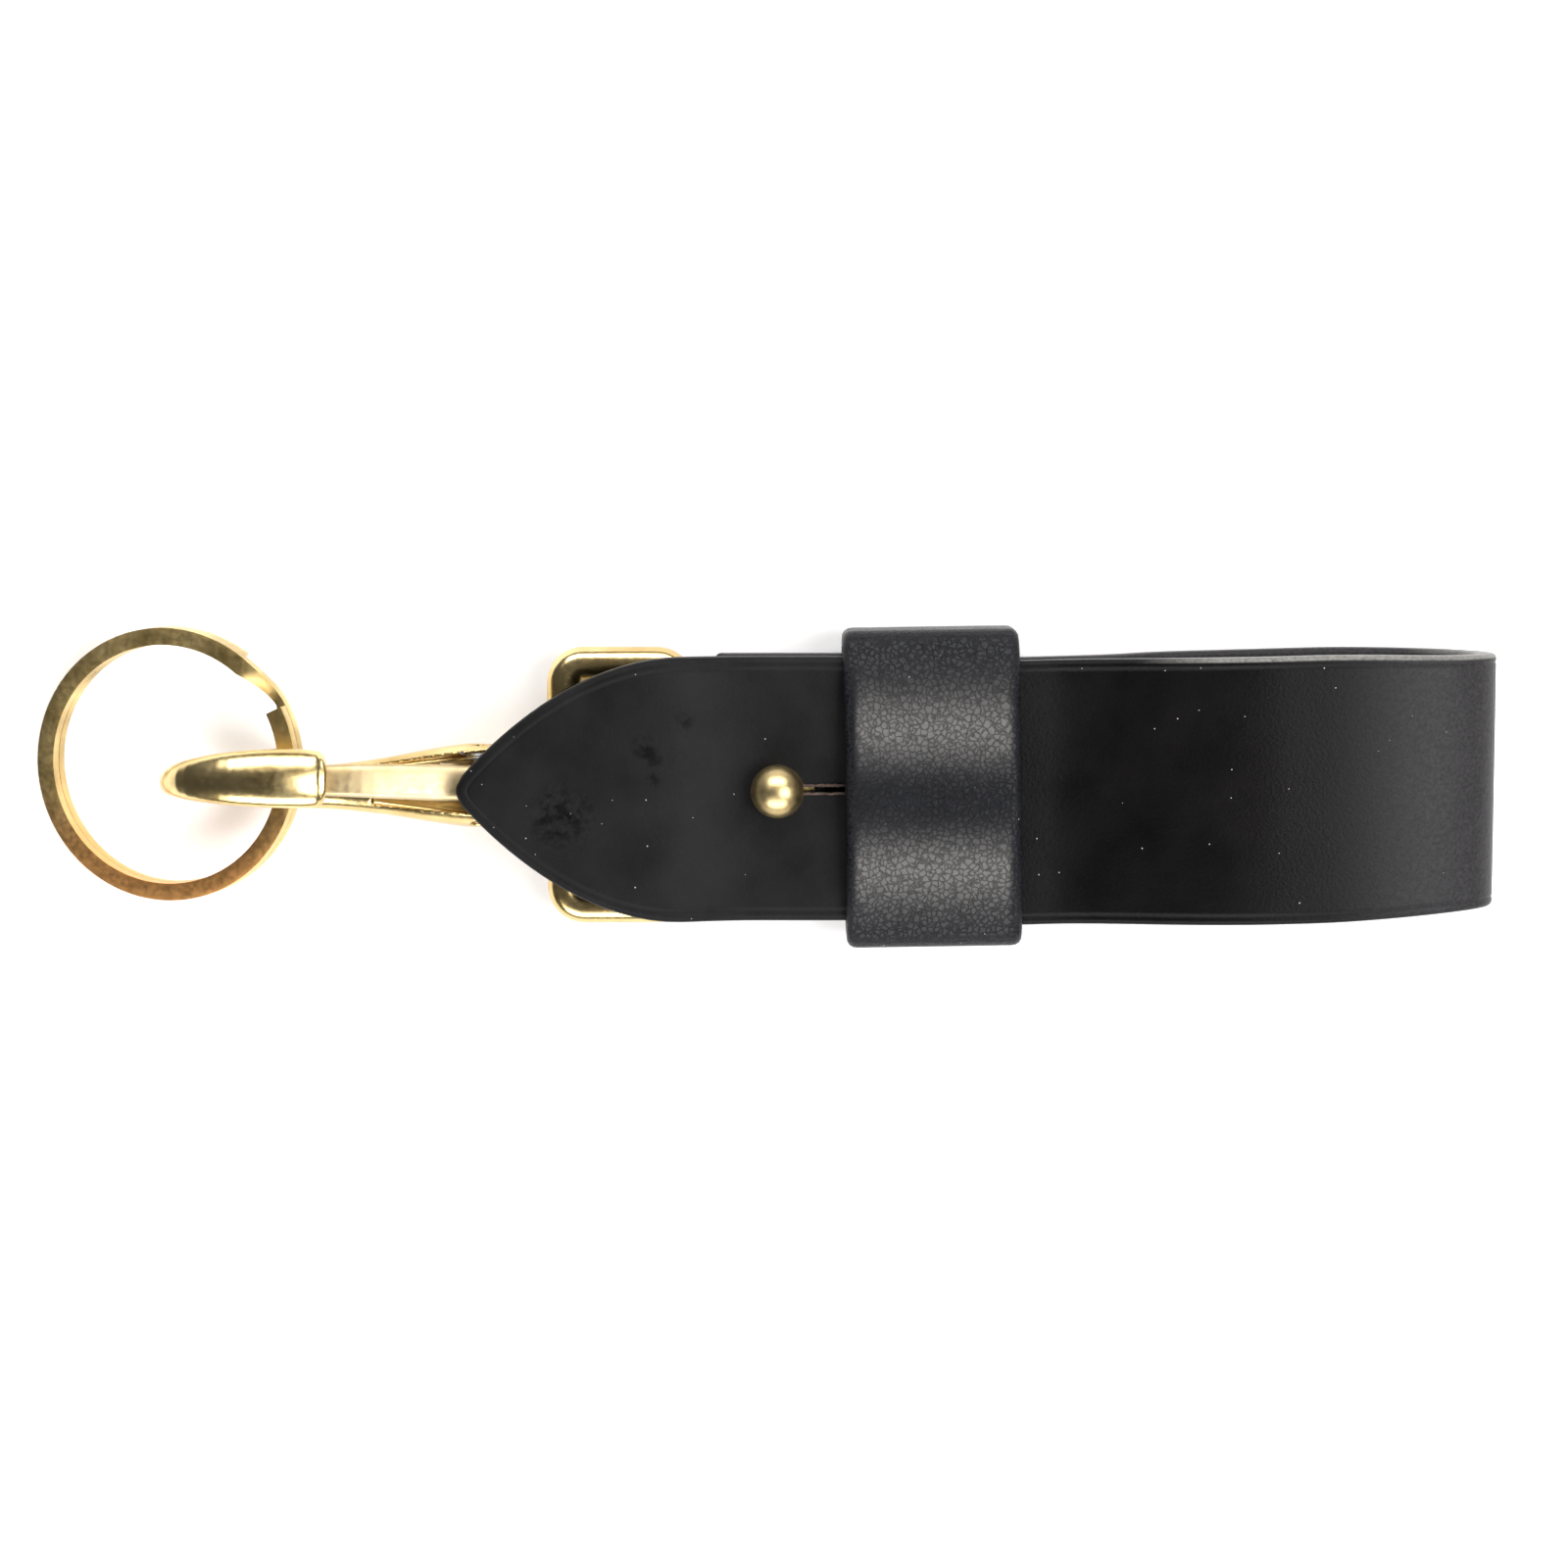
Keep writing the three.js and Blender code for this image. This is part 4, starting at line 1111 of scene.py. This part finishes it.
for name, material in {
    "stud_screw": BRASS, "swivel_post": BRASS, "gate_pin": BRASS, "gate_spring": STEEL,
    "keeper_stitch_1": THREAD, "keeper_stitch_2": THREAD, "keeper_stitch_3": THREAD,
}.items():
    dress(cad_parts[name], material)

# ------------------------------------------------------------------ camera, light and floor


def look_at(thing, target, up=(0, 1, 0)):
    ahead = (Vector(target) - thing.location).normalized()
    right = ahead.cross(Vector(up)).normalized()
    turned_so = Matrix((right, right.cross(ahead), -ahead)).transposed()
    thing.rotation_euler = turned_so.to_euler()


bpy.ops.object.camera_add(location=(0.00275, 0.0461, 0.4625))
camera = bpy.context.object
camera.data.lens = 86.5
camera.data.sensor_width = 36
look_at(camera, (0.00275, 0.0008, 0.0125))
bpy.context.scene.camera = camera


def softbox(name, location, size, power, target=(0, 0, 0)):
    bpy.ops.object.light_add(type="AREA", location=location)
    lamp = bpy.context.object
    lamp.name = name
    lamp.data.shape = "RECTANGLE"
    lamp.data.size, lamp.data.size_y = size
    lamp.data.energy = power
    look_at(lamp, target)
    return lamp


softbox("softbox_far", (0, 0.44, 0.35), (0.7, 0.3), 4.6)
softbox("softbox_near", (0, -0.44, 0.35), (0.7, 0.3), 4.6)
softbox("softbox_end", (0.32, 0, 0.5), (0.38, 0.36), 3.3)

world = bpy.data.worlds.new("studio")
bpy.context.scene.world = world
world.use_nodes = True
world.node_tree.nodes["Background"].inputs["Color"].default_value = (0.95, 0.97, 1.0, 1)
world.node_tree.nodes["Background"].inputs["Strength"].default_value = 0.08

bpy.ops.object.select_all(action="DESELECT")
bpy.ops.mesh.primitive_plane_add(size=4, location=(0, 0, -0.0002))
floor = bpy.context.object
floor.name = "floor"
floor_paint = bpy.data.materials.new("floor_paint")
floor_paint.use_nodes = True
floor_paint.node_tree.nodes["Principled BSDF"].inputs["Base Color"].default_value = (0.86, 0.85, 0.845, 1)
floor_paint.node_tree.nodes["Principled BSDF"].inputs["Roughness"].default_value = 0.9
floor_paint.node_tree.nodes["Principled BSDF"].inputs["Emission Color"].default_value = (1, 0.99, 0.98, 1)
floor_paint.node_tree.nodes["Principled BSDF"].inputs["Emission Strength"].default_value = 0.12
dress(floor, floor_paint)
bpy.context.scene.view_settings.view_transform = "Standard"
